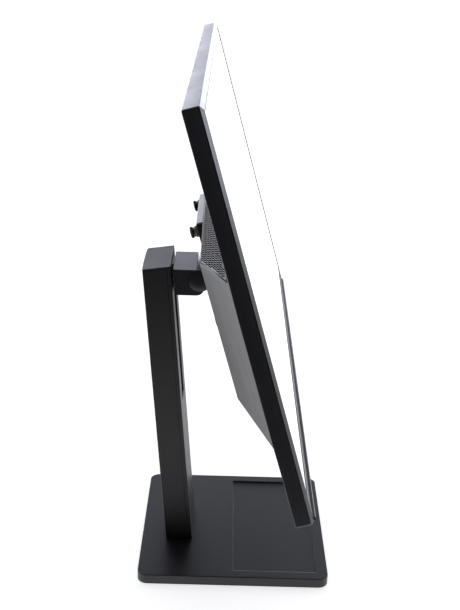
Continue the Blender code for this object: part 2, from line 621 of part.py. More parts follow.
def make_front_bezel(display):
    """A frame with a sloping outer edge; its chin carries a long groove and a proud lower lip."""
    half = PANEL_WIDTH / 2
    inner_x, inner_top, inner_bottom = half - SIDE_BEZEL, PANEL_TOP - SIDE_BEZEL, PANEL_BOTTOM + CHIN
    made = bmesh.new()

    def ring(rows):
        return [[made.verts.new((x * sx, y, z)) for x, z, sx in
                 ((xo, top, -1), (xo, top, 1), (xo, low, 1), (xo, low, -1))] for xo, top, low, y in rows]

    slope = half - BEZEL_CHAMFER
    rings = ring([(half, PANEL_TOP, PANEL_BOTTOM, BEZEL_BACK),
                  (slope, PANEL_TOP - BEZEL_CHAMFER, PANEL_BOTTOM + 0.0004, 0.0),
                  (inner_x, inner_top, inner_bottom, 0.0),
                  (inner_x, inner_top, inner_bottom, BEZEL_BACK)])
    for a, b in zip(rings, rings[1:] + rings[:1]):
        for i in range(4):
            j = (i + 1) % 4
            made.faces.new((a[i], a[j], b[j], b[i]))
    bezel = place(made, "front_bezel", "bezel_plastic", display)
    lip = [(-LIP, PANEL_BOTTOM + 0.0012), (-LIP, PANEL_BOTTOM + GROOVE_LOW - 0.0006),
           (0.0010, PANEL_BOTTOM + GROOVE_LOW), (0.0010, PANEL_BOTTOM + 0.0008)]
    lip_end = half - BEZEL_CHAMFER - 0.001
    join(bezel, side_prism(lip, -lip_end, lip_end), "lip_joiner")
    middle = PANEL_BOTTOM + (GROOVE_LOW + GROOVE_HIGH) / 2
    tall = (GROOVE_HIGH - GROOVE_LOW) / 2
    groove = depth_prism(rounded_rectangle(GROOVE_HALF, tall, 0.0050, 4, (0.0, middle)),
                         -0.01, GROOVE_DEPTH)
    cut(bezel, [groove], "groove_cutter")
    strip = depth_prism(rounded_rectangle(GROOVE_HALF - 0.0006, tall - 0.0006, 0.0044, 4,
                                          (0.0, middle)), 0.0002, GROOVE_DEPTH - GAP)
    strip_ob = place(strip, "chin_strip", "strip_plastic", display)
    x, r = LIGHT_X, 0.0012
    cut(strip_ob, [turned([(0, -0.01), (r + 0.0002, -0.01), (r + 0.0002, 0.01), (0, 0.01)], 12, "Y",
                          (x, 0, middle))], "light_cutter")
    back = GROOVE_DEPTH - GAP
    place(turned([(0, 0.0), (r, 0.0), (r, back), (0, back)], 12, "Y", (x, 0, middle)),
          "power_light", "light_lens", display, True)


# ---------------------------------------------------------------- inside the display

def make_panel(display):
    half_x = PANEL_WIDTH / 2 - 0.0030
    low, high = PANEL_BOTTOM + 0.0195, PANEL_TOP - 0.0030
    place(box((-half_x, COVER_FRONT, low), (half_x, 0.0050, high)), "lcd_screen", "screen", display)
    place(box((-half_x + 0.002, 0.0053, low + 0.002), (half_x - 0.002, 0.0083, high - 0.002)),
          "light_guide", "light_guide", display)
    place(box((-half_x, 0.0086, low), (half_x, 0.0094, high)), "panel_tray", "steel", display)


def make_boards(display):
    board = 0.0150
    for name, left in (("main_board", 0.0820), ("power_board", -0.1700)):
        place(box((left, board, -0.0700), (left + 0.0880, board + 0.0016, 0.0450)),
              name, "circuit_board", display)
    place(box((-0.1450, board + 0.0020, -0.0200), (-0.1100, board + 0.0200, 0.0150)), "power_transformer",
          "painted_steel", display)


def socket(name, x, width, height, mouth_x, mouth_y, depth, display):
    """A socket that opens downwards: a block behind the bracket, with its mouth cut up into it."""
    middle = SOCKET_DEPTH
    low = IO_HIGH - 0.0012
    block = place(box((x - width / 2, middle - height / 2, low),
                      (x + width / 2, middle + height / 2, low + depth + 0.003)),
                  name, "socket_plastic", display)
    cut(block, [box((x - mouth_x / 2, middle - mouth_y / 2, low - 0.01),
                    (x + mouth_x / 2, middle + mouth_y / 2, low + depth))], name + "_cutter")


def make_sockets(display):
    """The bent bracket that closes the socket recess, with a hole for each socket."""
    profile = [(0.0148, IO_LOW - 0.001), (0.0156, IO_LOW - 0.001), (0.0156, IO_HIGH - GAP - 0.0008),
               (0.0362, IO_HIGH - GAP - 0.0008), (0.0362, IO_HIGH - GAP), (0.0148, IO_HIGH - GAP)]
    bracket = place(side_prism(profile, IO_LEFT + GAP, IO_RIGHT - GAP), "socket_bracket", "steel", display)
    holes = [box((x - w / 2 - GAP, SOCKET_DEPTH - h / 2 - GAP, IO_HIGH - 0.006),
                 (x + w / 2 + GAP, SOCKET_DEPTH + h / 2 + GAP, IO_HIGH + 0.006))
             for _, x, w, h, _, _, _ in SOCKETS]
    cut(bracket, holes, "bracket_cutter")
    for row in SOCKETS:
        socket(*row, display)


def button_places():
    return [BUTTON_FIRST + i * BUTTON_PITCH for i in range(len(BUTTONS))]


def make_buttons(display):
    place(box((BUTTON_FIRST - 0.012, 0.0056, PANEL_BOTTOM + 0.0058),
              (button_places()[-1] + 0.012, 0.0116, PANEL_BOTTOM + 0.0070)),
          "button_board", "circuit_board", display)
    for name, x in zip(BUTTONS, button_places()):
        frame = empty(name + "_axis", display_point(x, 0.0085, PANEL_BOTTOM), -PANEL_TILT, display)
        outline = rounded_rectangle(BUTTON_HALF_X, BUTTON_HALF_Y, 0.0012, 2)
        cap = place(prism(outline, -0.0014, 0.0045), name, "button_plastic", frame)
        soften(cap, 0.0004, 1, 60)


def display_point(x, y, z):
    """World place of a point given in the display's frame."""
    return Matrix.Translation((0, PIVOT_Y, PIVOT_Z)) @ Matrix.Rotation(-PANEL_TILT, 4, "X") @ Vector((x, y, z))


def main():
    clear_scene()
    root = empty("base_frame", (0, 0, 0))
    make_base(root)

    swivel = empty("swivel_axis", (0, SWIVEL_Y, 0), 0, root)
    make_swivel(swivel)
    column = empty("column_frame", (0, SWIVEL_Y, BASE_TOP), -COLUMN_LEAN, swivel)
    make_column(column)

    lift = empty("lift_axis", (0, SWIVEL_Y, BASE_TOP), -COLUMN_LEAN, column)
    make_carriage(lift)
    head = empty("head_frame", (0, 0, 0), 0, lift)
    make_head(head)

    tilt = empty("tilt_axis", (0, TILT_Y, TILT_Z), -PANEL_TILT, head)
    make_tilt(tilt)
    pivot_fixed = empty("pivot_fixed_frame", (0, PIVOT_Y, PIVOT_Z), -PANEL_TILT, tilt)
    make_pivot(pivot_fixed)

    display = empty("pivot_axis", (0, PIVOT_Y, PIVOT_Z), -PANEL_TILT, pivot_fixed)
    make_mount(display)
    make_rear_cover(display)
    make_front_bezel(display)
    make_panel(display)
    make_boards(display)
    make_sockets(display)
    make_buttons(display)


main()
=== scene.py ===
import json
import math

import bmesh
import bpy
import numpy as np
from mathutils import Matrix, Vector
from mathutils.geometry import delaunay_2d_cdt


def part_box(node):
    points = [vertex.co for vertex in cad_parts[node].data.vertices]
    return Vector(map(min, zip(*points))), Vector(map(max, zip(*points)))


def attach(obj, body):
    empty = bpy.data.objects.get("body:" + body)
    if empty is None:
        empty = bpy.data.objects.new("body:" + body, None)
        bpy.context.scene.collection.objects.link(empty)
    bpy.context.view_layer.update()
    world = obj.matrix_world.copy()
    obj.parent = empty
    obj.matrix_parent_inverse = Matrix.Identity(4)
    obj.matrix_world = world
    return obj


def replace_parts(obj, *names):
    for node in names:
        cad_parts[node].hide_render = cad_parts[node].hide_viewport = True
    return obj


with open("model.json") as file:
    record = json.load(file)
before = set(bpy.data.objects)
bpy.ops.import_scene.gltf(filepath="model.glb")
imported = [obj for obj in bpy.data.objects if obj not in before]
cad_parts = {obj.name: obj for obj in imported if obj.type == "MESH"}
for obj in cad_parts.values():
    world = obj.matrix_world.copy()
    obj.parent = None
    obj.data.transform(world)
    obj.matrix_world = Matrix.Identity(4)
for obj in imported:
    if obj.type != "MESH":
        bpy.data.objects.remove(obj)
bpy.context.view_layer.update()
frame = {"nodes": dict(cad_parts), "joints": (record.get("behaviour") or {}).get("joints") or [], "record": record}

print("frame loaded:", len(frame["nodes"]), "nodes")

# the three frames that the pieces are drawn in: x across, second axis towards the back, third up
joints = {joint["name"]: joint for joint in frame["joints"]}
pivot, lift, tilt = joints["pivot"], joints["height_slide"], joints["tilt"]
displayTilt = math.atan2(-pivot["axis"][2], pivot["axis"][1])
columnLean = math.atan2(lift["axis"][1], lift["axis"][2])
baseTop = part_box("base_cover")[1].z
levelFrame = Matrix.Identity(4)
displayFrame = Matrix.Translation(pivot["pos_m"]) @ Matrix.Rotation(-displayTilt, 4, "X")
columnFrame = (Matrix.Translation((0, joints["swivel"]["pos_m"][1], baseTop))
        @ Matrix.Rotation(-columnLean, 4, "X"))

# bulge: how far in the middle of a small rounded edge lies, as a share of its radius, near 1 - sin 45 degrees
meshing = {"merge": 2e-6, "crispAngle": 34, "flatWeight": 90, "insideOnly": 1, "hair": 1e-7, "bulge": 0.3}
bulge = meshing["bulge"]


def localBox(node, place):
    # lowest and highest corner of a node in a tilted frame: inverse of place times every vertex
    data = frame["nodes"][node].data
    points = np.empty(len(data.vertices) * 3)
    data.vertices.foreach_get("co", points)
    turn = np.array(place.inverted())
    local = points.reshape(-1, 3) @ turn[:3, :3].T + turn[:3, 3]
    return local.min(0), local.max(0)


def roundedLoop(low, high, corner, steps=6, extra=0):
    # a rectangle with round corners: corner centre + corner * (cos a, sin a), with a running 90 degrees at
    # each corner; extra adds evenly spaced points along each straight side
    turn = np.radians(np.linspace(0, 90, steps))
    angles = np.radians([[0], [90], [180], [270]]) + turn
    middle, half = (np.array(high) + low) / 2, (np.array(high) - low) / 2 - corner
    x = middle[0] + np.array([[1], [-1], [-1], [1]]) * half[0] + corner * np.cos(angles)
    y = middle[1] + np.array([[1], [1], [-1], [-1]]) * half[1] + corner * np.sin(angles)
    loop = np.stack([x.ravel(), y.ravel()], -1)
    if extra:
        share = np.linspace(0, 1, extra + 2)[1:-1, None]
        sides = [loop[k * steps:(k + 1) * steps] for k in range(4)]
        runs = [side[-1] + (sides[(k + 1) % 4][0] - side[-1]) * share for k, side in enumerate(sides)]
        loop = np.concatenate([part for pair in zip(sides, runs) for part in pair])
    return loop


def roundCorners(points, radii, steps=5):
    # a closed outline with its corners rounded: each arc touches both sides, and its centre lies on the
    # corner's bisector at radius / sin(half the angle)
    out = []
    for i, radius in enumerate(radii):
        here = Vector(points[i])
        if radius == 0:
            out.append(tuple(here))
            continue
        back = (Vector(points[i - 1]) - here).normalized()
        ahead = (Vector(points[(i + 1) % len(points)]) - here).normalized()
        half = back.angle(ahead) / 2
        centre = here + (back + ahead).normalized() * radius / math.sin(half)
        start = here + back * radius / math.tan(half) - centre
        end = here + ahead * radius / math.tan(half) - centre
        first = math.atan2(start.y, start.x)
        sweep = (math.atan2(end.y, end.x) - first + math.pi) % (2 * math.pi) - math.pi
        angles = first + sweep * np.linspace(0, 1, steps)
        out += [(centre.x + radius * math.cos(a), centre.y + radius * math.sin(a)) for a in angles]
    return np.array(out)


def gridFaces(rows, columns, wrapRows=False):
    # quads of a grid whose columns wrap round: (i, j), (i, j + 1), (i + 1, j + 1), (i + 1, j)
    i = np.arange(rows if wrapRows else rows - 1)[:, None]
    j = np.arange(columns)[None, :]
    nextI, nextJ = (i + 1) % rows, (j + 1) % columns
    quads = np.stack([i * columns + j, i * columns + nextJ, nextI * columns + nextJ, nextI * columns + j], -1)
    return quads.reshape(-1, 4).tolist()


def addObject(name, data):
    # an object in the scene that shows the data
    made = bpy.data.objects.new(name, data)
    bpy.context.scene.collection.objects.link(made)
    return made


def addPiece(name, points, faces, body, slot, place=levelFrame, crisp=meshing["crispAngle"]):
    # a mesh of points turned and moved by place, with its doubles merged, every face turned outwards, edges
    # over the crisp angle left sharp, and the material of its slot
    mesh = bpy.data.meshes.new(name)
    turn = np.array(place)
    world = np.asarray(points, float) @ turn[:3, :3].T + turn[:3, 3]
    mesh.from_pydata(world.tolist(), [], faces)
    work = bmesh.new()
    work.from_mesh(mesh)
    bmesh.ops.remove_doubles(work, verts=work.verts, dist=meshing["merge"])
    bmesh.ops.recalc_face_normals(work, faces=work.faces)
    work.to_mesh(mesh)
    work.free()
    mesh.shade_smooth()
    mesh.set_sharp_from_angle(angle=math.radians(crisp))
    mesh.materials.append(slotLooks[slot])
    piece = addObject(name, mesh)
    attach(piece, body)
    return piece


def loft(rings, wrapRows=False):
    # a surface over rings of equally many points, one grid row each; the ends are closed unless the rows
    # wrap round
    rings = np.asarray(rings, float)
    rows, columns = rings.shape[:2]
    faces = gridFaces(rows, columns, wrapRows)
    if not wrapRows:
        faces += [list(range(columns)), list(range((rows - 1) * columns, rows * columns))]
    return rings.reshape(-1, 3), faces


def depthRing(loop, depth):
    # a loop drawn in x and up, set at a depth: (x, depth, up)
    return np.stack([loop[:, 0], np.broadcast_to(depth, len(loop)), loop[:, 1]], -1)


def levelRing(loop, height):
    # a loop drawn in x and y, set at a height: (x, y, height)
    return np.stack([loop[:, 0], loop[:, 1], np.broadcast_to(height, len(loop))], -1)


def edgeArc(radius, steps=4):
    # inset and drop of a rounded edge: radius * (1 - cos a), radius * (1 - sin a), from the side to the face
    a = np.radians(np.linspace(0, 90, steps))
    return np.stack([radius * (1 - np.cos(a)), radius * (1 - np.sin(a))], -1)


def lathe(profile, place, axis, steps=48, ripple=None):
    # a profile of (radius, height) turned round an axis: (r cos a, r sin a, h); ripple adds
    # depth * share * cos(count a) to r, with the share as each profile point's third value
    profile = np.asarray(profile, float)
    angles = np.linspace(0, 2 * math.pi, steps, endpoint=False)
    radius = np.repeat(profile[:, :1], steps, 1)
    if ripple is not None:
        radius = radius + ripple["depth"] * profile[:, 2:3] * np.cos(ripple["count"] * angles)[None, :]
    height = np.repeat(profile[:, 1:2], steps, 1)
    rings = np.stack([radius * np.cos(angles), radius * np.sin(angles), height], -1)
    order = {"X": [2, 0, 1], "Y": [0, 2, 1], "Z": [0, 1, 2]}[axis]
    return loft(rings[..., order] + np.array(place))


def prism(outline, low, high, turn):
    # an outline carried from one end to the other; turn says which coordinates the outline holds, and an end
    # is a number or a function of the outline
    outline = np.asarray(outline, float)
    ends = []
    for level in (low, high):
        value = level(outline) if callable(level) else np.full(len(outline), level)
        columns = {"XY": (outline[:, 0], outline[:, 1], value), "YZ": (value, outline[:, 0], outline[:, 1])}
        ends.append(np.stack(columns[turn], -1))
    return loft(ends)


def softenEdges(piece, width, segments=3, angle=30):
    # a live bevel on every edge sharper than angle
    bevel = piece.modifiers.new("soft edges", "BEVEL")
    bevel.width = width
    bevel.segments = segments
    bevel.limit_method = "ANGLE"
    bevel.angle_limit = math.radians(angle)
    bevel.harden_normals = True
    return piece


def flattenShading(piece):
    # large faces keep their own shading, and only the narrow ones between them are blended
    weighted = piece.modifiers.new("flat faces", "WEIGHTED_NORMAL")
    weighted.keep_sharp = True
    weighted.weight = meshing["flatWeight"]
    return piece


def cutSheet(outline, holes, lines=()):
    # triangles that fill an outline, leave its holes open and follow the given lines (constrained Delaunay);
    # every loop runs anticlockwise: the sum of x0 * y1 - x1 * y0 along it is above zero
    points, loops = [], []
    for loop in [outline] + list(holes):
        ahead = np.roll(loop, -1, 0)
        if np.sum(loop[:, 0] * ahead[:, 1] - ahead[:, 0] * loop[:, 1]) < 0:
            loop = loop[::-1]
        loops.append(list(range(len(points), len(points) + len(loop))))
        points += [Vector((float(x), float(y))) for x, y in loop]
    edges = []
    for start, end in lines:
        edges.append((len(points), len(points) + 1))
        points += [Vector(start), Vector(end)]
    made, _, faces, _, _, owners = delaunay_2d_cdt(points, edges, loops, meshing["insideOnly"],
            meshing["hair"])
    return np.array(made), [list(face) for face, owner in zip(faces, owners) if list(owner) == [0]]


def toLinear(hexColour):
    # sRGB hex to linear: ((c + 0.055) / 1.055) ** 2.4 above 0.04045, c / 12.92 below
    values = [int(hexColour[i:i + 2], 16) / 255 for i in (1, 3, 5)]
    return tuple(((c + 0.055) / 1.055) ** 2.4 if c > 0.04045 else c / 12.92 for c in values) + (1.0,)


def fillSockets(tree, node, inputs):
    # links each input that is given as a socket, and sets each one that is given as a value
    for key, value in inputs.items():
        if isinstance(value, bpy.types.NodeSocket):
            tree.links.new(value, node.inputs[key])
        else:
            node.inputs[key].default_value = value
    return node


def addNode(tree, kind, inputs=None, **settings):
    # adds a node, sets its properties, and sets or links each of its inputs
    node = tree.nodes.new(kind)
    for key, value in settings.items():
        setattr(node, key, value)
    return fillSockets(tree, node, inputs or {})


def newMaterial(name):
    # a material, its tree, its shader, and the place on the object that its patterns are drawn by
    made = bpy.data.materials.new(name)
    made.use_nodes = True
    tree = made.node_tree
    place = addNode(tree, "ShaderNodeTexCoord").outputs["Object"]
    return made, tree, tree.nodes["Principled BSDF"], place


def millimetres(size):
    # a noise scale, in repeats per metre, for a pattern of that size: 1000 / size
    return 1000.0 / size


# sparkMm is the pit spacing of the spark-eroded mould and spark its depth in mm; real pits, about 0.3 mm
# apart, are too fine to show, so they are drawn two to five times as coarse
mouldedAbs = {
    "spark eroded ABS, base": {"hex": "#141418", "worn": "#222227", "rough": 0.40, "sparkMm": 0.9,
            "spark": 0.05},
    "spark eroded ABS, column": {"hex": "#0f0f12", "worn": "#1c1c20", "rough": 0.45, "sparkMm": 0.9,
            "spark": 0.05, "ior": 1.46},
    "spark eroded ABS, head": {"hex": "#15161a", "worn": "#26272d", "rough": 0.28, "sparkMm": 0.8,
            "spark": 0.03},
    "spark eroded ABS, rear cover": {"hex": "#19191c", "worn": "#2a2a2e", "rough": 0.36, "sparkMm": 1.1,
            "spark": 0.10},
    "satin ABS, bezel": {"hex": "#151518", "worn": "#242428", "rough": 0.30, "sparkMm": 0.8, "spark": 0.03,
            "ior": 1.47},
    "matt ABS, chin strip": {"hex": "#1b1b1e", "worn": "#28282b", "rough": 0.58, "sparkMm": 1.4,
            "spark": 0.01},
    "satin ABS, keys": {"hex": "#18181a", "worn": "#303034", "rough": 0.30, "sparkMm": 0.8, "spark": 0.03},
    "nylon, socket bodies": {"hex": "#0e0e10", "worn": "#1c1c1f", "rough": 0.42, "sparkMm": 0.7,
            "spark": 0.05},
    "acetal, bearings": {"hex": "#c4c2ba", "worn": "#dad8d0", "rough": 0.42, "sparkMm": 1.2, "spark": 0.03},
}
mouldedSkin = {"ior": 1.53, "cloudMm": 70, "cloudTint": 0.14, "rubbedFrom": 0.52, "rubbedTo": 0.60,
        "rubbedTint": 0.5, "fleck": 0.12, "smudgeMm": 35, "glossier": 0.02, "duller": 0.03}


def makeMouldedAbs(name, look):
    # moulded plastic: a fine pitted skin that breaks up highlights, slightly uneven gloss where it has been
    # handled, cloudy flow marks in the colour, and edges rubbed a little paler
    made, tree, shader, place = newMaterial(name)
    skin = mouldedSkin
    cloud = addNode(tree, "ShaderNodeTexNoise", {"Vector": place, "Scale": millimetres(skin["cloudMm"]),
            "Detail": 3.0})
    cloudShare = addNode(tree, "ShaderNodeMapRange", {"Value": cloud.outputs["Fac"], "From Min": 0.35,
            "From Max": 0.65, "To Min": 0.0, "To Max": skin["cloudTint"]})
    edge = addNode(tree, "ShaderNodeNewGeometry").outputs["Pointiness"]
    rubbed = addNode(tree, "ShaderNodeMapRange", {"Value": edge, "From Min": skin["rubbedFrom"],
            "From Max": skin["rubbedTo"], "To Min": 0.0, "To Max": skin["rubbedTint"]})
    wear = addNode(tree, "ShaderNodeMath", {0: cloudShare.outputs["Result"], 1: rubbed.outputs["Result"]},
            operation="MAXIMUM")
    tint = addNode(tree, "ShaderNodeMix", {"Factor": wear.outputs["Value"], "A": toLinear(look["hex"]),
            "B": toLinear(look["worn"])}, data_type="RGBA")
    fleck = addNode(tree, "ShaderNodeTexNoise", {"Vector": place, "Scale": millimetres(look["sparkMm"]),
            "Detail": 2.0, "Roughness": 0.6})
    fleckShare = addNode(tree, "ShaderNodeMapRange", {"Value": fleck.outputs["Fac"], "From Min": 0.3,
            "From Max": 0.7, "To Min": 1 - skin["fleck"], "To Max": 1 + skin["fleck"]})
    colour = addNode(tree, "ShaderNodeMix", {"Factor": 1.0, "A": tint.outputs["Result"],
            "B": fleckShare.outputs["Result"]}, data_type="RGBA", blend_type="MULTIPLY")
    smudge = addNode(tree, "ShaderNodeTexNoise", {"Vector": place, "Scale": millimetres(skin["smudgeMm"]),
            "Detail": 4.0, "Distortion": 0.6})
    gloss = addNode(tree, "ShaderNodeMapRange", {"Value": smudge.outputs["Fac"], "From Min": 0.3,
            "From Max": 0.7, "To Min": look["rough"] - skin["glossier"],
            "To Max": look["rough"] + skin["duller"]})
    bump = addNode(tree, "ShaderNodeBump", {"Height": fleck.outputs["Fac"], "Strength": 1.0,
            "Distance": look["spark"] / 1000})
    fillSockets(tree, shader, {"Base Color": colour.outputs["Result"], "Roughness": gloss.outputs["Result"],
            "Normal": bump.outputs["Normal"], "IOR": look.get("ior", skin["ior"])})
    return made


# grainMm is the spacing of the drawn or brushed lines, drawn coarse enough to show
metals = {
    "zinc plated sheet steel": {"hex": "#a4a5a8", "dull": "#7e7f83", "rough": 0.34, "grainMm": 0.8},
    "ground steel rod": {"hex": "#b9babd", "dull": "#97989c", "rough": 0.18, "grainMm": 0.6},
    "black zinc plated screws": {"hex": "#6e6e66", "dull": "#4a4a44", "rough": 0.36, "grainMm": 0.5},
    "die cast aluminium": {"hex": "#bcbdbf", "dull": "#98999c", "rough": 0.40, "grainMm": 1.2},
}


def makeMetal(name, look):
    # plated or machined metal: fine lines across the part, and duller patches where the plating is thin
    made, tree, shader, place = newMaterial(name)
    stretch = addNode(tree, "ShaderNodeMapping", {"Vector": place, "Scale": (1.0, 1.0, 0.06)})
    lines = addNode(tree, "ShaderNodeTexNoise", {"Vector": stretch.outputs["Vector"],
            "Scale": millimetres(look["grainMm"]), "Detail": 3.0})
    patch = addNode(tree, "ShaderNodeTexNoise", {"Vector": place, "Scale": millimetres(18), "Detail": 3.0})
    colour = addNode(tree, "ShaderNodeMix", {"Factor": patch.outputs["Fac"], "A": toLinear(look["hex"]),
            "B": toLinear(look["dull"])}, data_type="RGBA")
    gloss = addNode(tree, "ShaderNodeMapRange", {"Value": lines.outputs["Fac"], "From Min": 0.3,
            "From Max": 0.7, "To Min": look["rough"] - 0.08, "To Max": look["rough"] + 0.10})
    bump = addNode(tree, "ShaderNodeBump", {"Height": lines.outputs["Fac"], "Strength": 0.6,
            "Distance": 0.00003})
    fillSockets(tree, shader, {"Base Color": colour.outputs["Result"], "Roughness": gloss.outputs["Result"],
            "Normal": bump.outputs["Normal"], "Metallic": 1.0})
    return made


# finishes of two colours mixed by a cloud, some with a grain of grainMm that stands relief mm high: powder
# coat's orange peel leaves soft, wavy highlights; moulded rubber is matt, with a faint grey bloom; clear
# acrylic over a white back is glossy, with slight moulding clouds; the paper is pale, with a faint tooth, and
# lit from behind
coats = {
    "black powder coat": {"hex": "#17171a", "second": "#27272b", "cloudMm": 9, "detail": 4.0, "rough": 0.46,
            "grainMm": 1.6, "grainDetail": 1.5, "relief": 0.08},
    "moulded rubber": {"hex": "#101011", "second": "#2a2a2b", "cloudMm": 6, "detail": 5.0, "rough": 0.82,
            "grainMm": 0.7, "grainDetail": 2.0, "relief": 0.06},
    "clear acrylic, power light": {"hex": "#dfe6ee", "second": "#cfd4d8", "cloudMm": 30, "detail": 2.0,
            "rough": 0.12, "ior": 1.49},
    "clear acrylic, light guide": {"hex": "#eef0f2", "second": "#cfd4d8", "cloudMm": 30, "detail": 2.0,
            "rough": 0.12, "ior": 1.49},
    "seamless paper, floor": {"hex": "#f4f4f4", "second": "#f7f7f7", "cloudMm": 4, "detail": 3.0,
            "rough": 0.9, "glow": 0.75},
    "seamless paper, walls": {"hex": "#f4f4f4", "second": "#f7f7f7", "cloudMm": 4, "detail": 3.0,
            "rough": 0.9, "glow": 1.0},
}


def makeCoat(name, look):
    # colour = hex + cloud * (second - hex), height = relief * grain, and a white glow where there is one
    made, tree, shader, place = newMaterial(name)
    cloud = addNode(tree, "ShaderNodeTexNoise", {"Vector": place, "Scale": millimetres(look["cloudMm"]),
            "Detail": look["detail"]})
    colour = addNode(tree, "ShaderNodeMix", {"Factor": cloud.outputs["Fac"], "A": toLinear(look["hex"]),
            "B": toLinear(look["second"])}, data_type="RGBA")
    inputs = {"Base Color": colour.outputs["Result"], "Roughness": look["rough"]}
    if "grainMm" in look:
        grain = addNode(tree, "ShaderNodeTexNoise", {"Vector": place, "Scale": millimetres(look["grainMm"]),
                "Detail": look["grainDetail"]})
        bump = addNode(tree, "ShaderNodeBump", {"Height": grain.outputs["Fac"], "Strength": 1.0,
                "Distance": look["relief"] / 1000})
        inputs["Normal"] = bump.outputs["Normal"]
    if "ior" in look:
        inputs["IOR"] = look["ior"]
    if "glow" in look:
        inputs.update({"Emission Color": toLinear("#ffffff"), "Emission Strength": look["glow"]})
    fillSockets(tree, shader, inputs)
    return made


def makeLitPanel(name):
    # a lit liquid crystal panel under matt film: an even white glow, a touch dimmer in slow clouds, with the
    # film's fine haze in its weak reflections
    made, tree, shader, place = newMaterial(name)
    cloud = addNode(tree, "ShaderNodeTexNoise", {"Vector": place, "Scale": millimetres(220), "Detail": 1.0})
    glow = addNode(tree, "ShaderNodeMix", {"Factor": cloud.outputs["Fac"], "A": toLinear("#ffffff"),
            "B": toLinear("#fafcff")}, data_type="RGBA")
    haze = addNode(tree, "ShaderNodeTexNoise", {"Vector": place, "Scale": millimetres(0.6), "Detail": 1.0})
    bump = addNode(tree, "ShaderNodeBump", {"Height": haze.outputs["Fac"], "Strength": 0.4,
            "Distance": 0.00003})
    fillSockets(tree, shader, {"Emission Color": glow.outputs["Result"], "Normal": bump.outputs["Normal"],
            "Emission Strength": 1.05, "Base Color": toLinear("#3a3a3e"), "Roughness": 0.42})
    return made


def makeCircuitBoard(name):
    # green solder mask over glass fibre: darker where there is no copper, with fine tracks
    made, tree, shader, place = newMaterial(name)
    tracks = addNode(tree, "ShaderNodeTexBrick", {"Vector": place, "Scale": millimetres(9),
            "Color1": toLinear("#1c5a34"), "Color2": toLinear("#236b3f"),
            "Mortar": toLinear("#123d23"), "Mortar Size": 0.08})
    bump = addNode(tree, "ShaderNodeBump", {"Height": tracks.outputs["Fac"], "Strength": 0.5,
            "Distance": 0.00004})
    fillSockets(tree, shader, {"Base Color": tracks.outputs["Color"], "Normal": bump.outputs["Normal"],
            "Roughness": 0.32})
    return made


finishes = {name: makeMouldedAbs(name, look) for name, look in mouldedAbs.items()}
finishes.update({name: makeMetal(name, look) for name, look in metals.items()})
finishes.update({name: makeCoat(name, look) for name, look in coats.items()})
finishes["lit panel"] = makeLitPanel("lit panel under matt film")
finishes["circuit board"] = makeCircuitBoard("solder masked board")
slotLooks = {slot: finishes[name] for slot, name in {
    "base_plastic": "spark eroded ABS, base", "column_plastic": "spark eroded ABS, column",
    "head_plastic": "spark eroded ABS, head", "cover_plastic": "spark eroded ABS, rear cover",
    "bezel_plastic": "satin ABS, bezel", "button_plastic": "satin ABS, keys",
    "strip_plastic": "matt ABS, chin strip", "bearing_plastic": "acetal, bearings",
    "foot_rubber": "moulded rubber", "steel": "zinc plated sheet steel", "painted_steel": "black powder coat",
    "rail_steel": "ground steel rod", "screw_metal": "black zinc plated screws", "screen": "lit panel",
    "light_guide": "clear acrylic, light guide", "circuit_board": "circuit board",
    "aluminium": "die cast aluminium", "socket_plastic": "nylon, socket bodies",
    "light_lens": "clear acrylic, power light"}.items()}
print("materials made:", len(bpy.data.materials))

view = {"place": (-1.0292, 0.0190, 0.6931), "pitch": 20.86, "yaw": -0.42, "roll": 1.76, "lens": 59.09,
        "shift": (-0.0003, -0.0110), "near": 0.05, "far": 100}


def makeCamera():
    # looks along (cos p cos y, cos p sin y, -sin p), then rolls about that line
    pitch, yaw, roll = (math.radians(view[key]) for key in ("pitch", "yaw", "roll"))
    ahead = Vector((math.cos(pitch) * math.cos(yaw), math.cos(pitch) * math.sin(yaw), -math.sin(pitch)))
    level = ahead.cross(Vector((0, 0, 1))).normalized()
    above = level.cross(ahead)
    right = level * math.cos(roll) + above * math.sin(roll)
    up = above * math.cos(roll) - level * math.sin(roll)
    data = bpy.data.cameras.new("camera")
    data.lens = view["lens"]
    data.shift_x, data.shift_y = view["shift"]
    data.clip_start, data.clip_end = view["near"], view["far"]
    camera = addObject("camera", data)
    turn = Matrix((right, up, -ahead)).transposed().to_4x4()
    camera.matrix_world = Matrix.Translation(view["place"]) @ turn
    bpy.context.scene.camera = camera


studio = {
    "floorHalf": 30.0, "floorDrop": -0.0002, "wallShare": 0.9, "wallHeight": 30,
    "softboxes": {   # place, aim, width, height, power
        "top": ((0.9, 0.0, 2.4), (0.3, 0.0, 0.2), 2.0, 2.4, 9.0),
        "front": ((0.4, -2.4, 1.3), (0.0, 0.0, 0.3), 1.8, 1.4, 3.0),
        "back": ((0.4, 2.4, 1.3), (0.0, 0.0, 0.3), 1.8, 1.4, 6.0),
    },
    "sky": "#eceefc", "dark": 0.06, "upper": 0.34, "horizon": 6.0, "turn": (-0.4, 0.6), "rise": (0.02, 0.33),
    "card": {"x": -0.50, "halfWidth": 1.6, "low": 0.02, "high": 1.8},
}


def makeStagePiece(name, corners, finish, seenBy=None):
    # a flat sheet between four corners that is no part of the object; seenBy names the rays that meet it
    mesh = bpy.data.meshes.new(name)
    mesh.from_pydata(corners, [], [(0, 1, 2, 3)])
    mesh.materials.append(finishes[finish])
    piece = addObject(name, mesh)
    for kind in ("camera", "diffuse", "glossy", "shadow", "transmission"):
        setattr(piece, "visible_" + kind, seenBy is None or kind == seenBy)


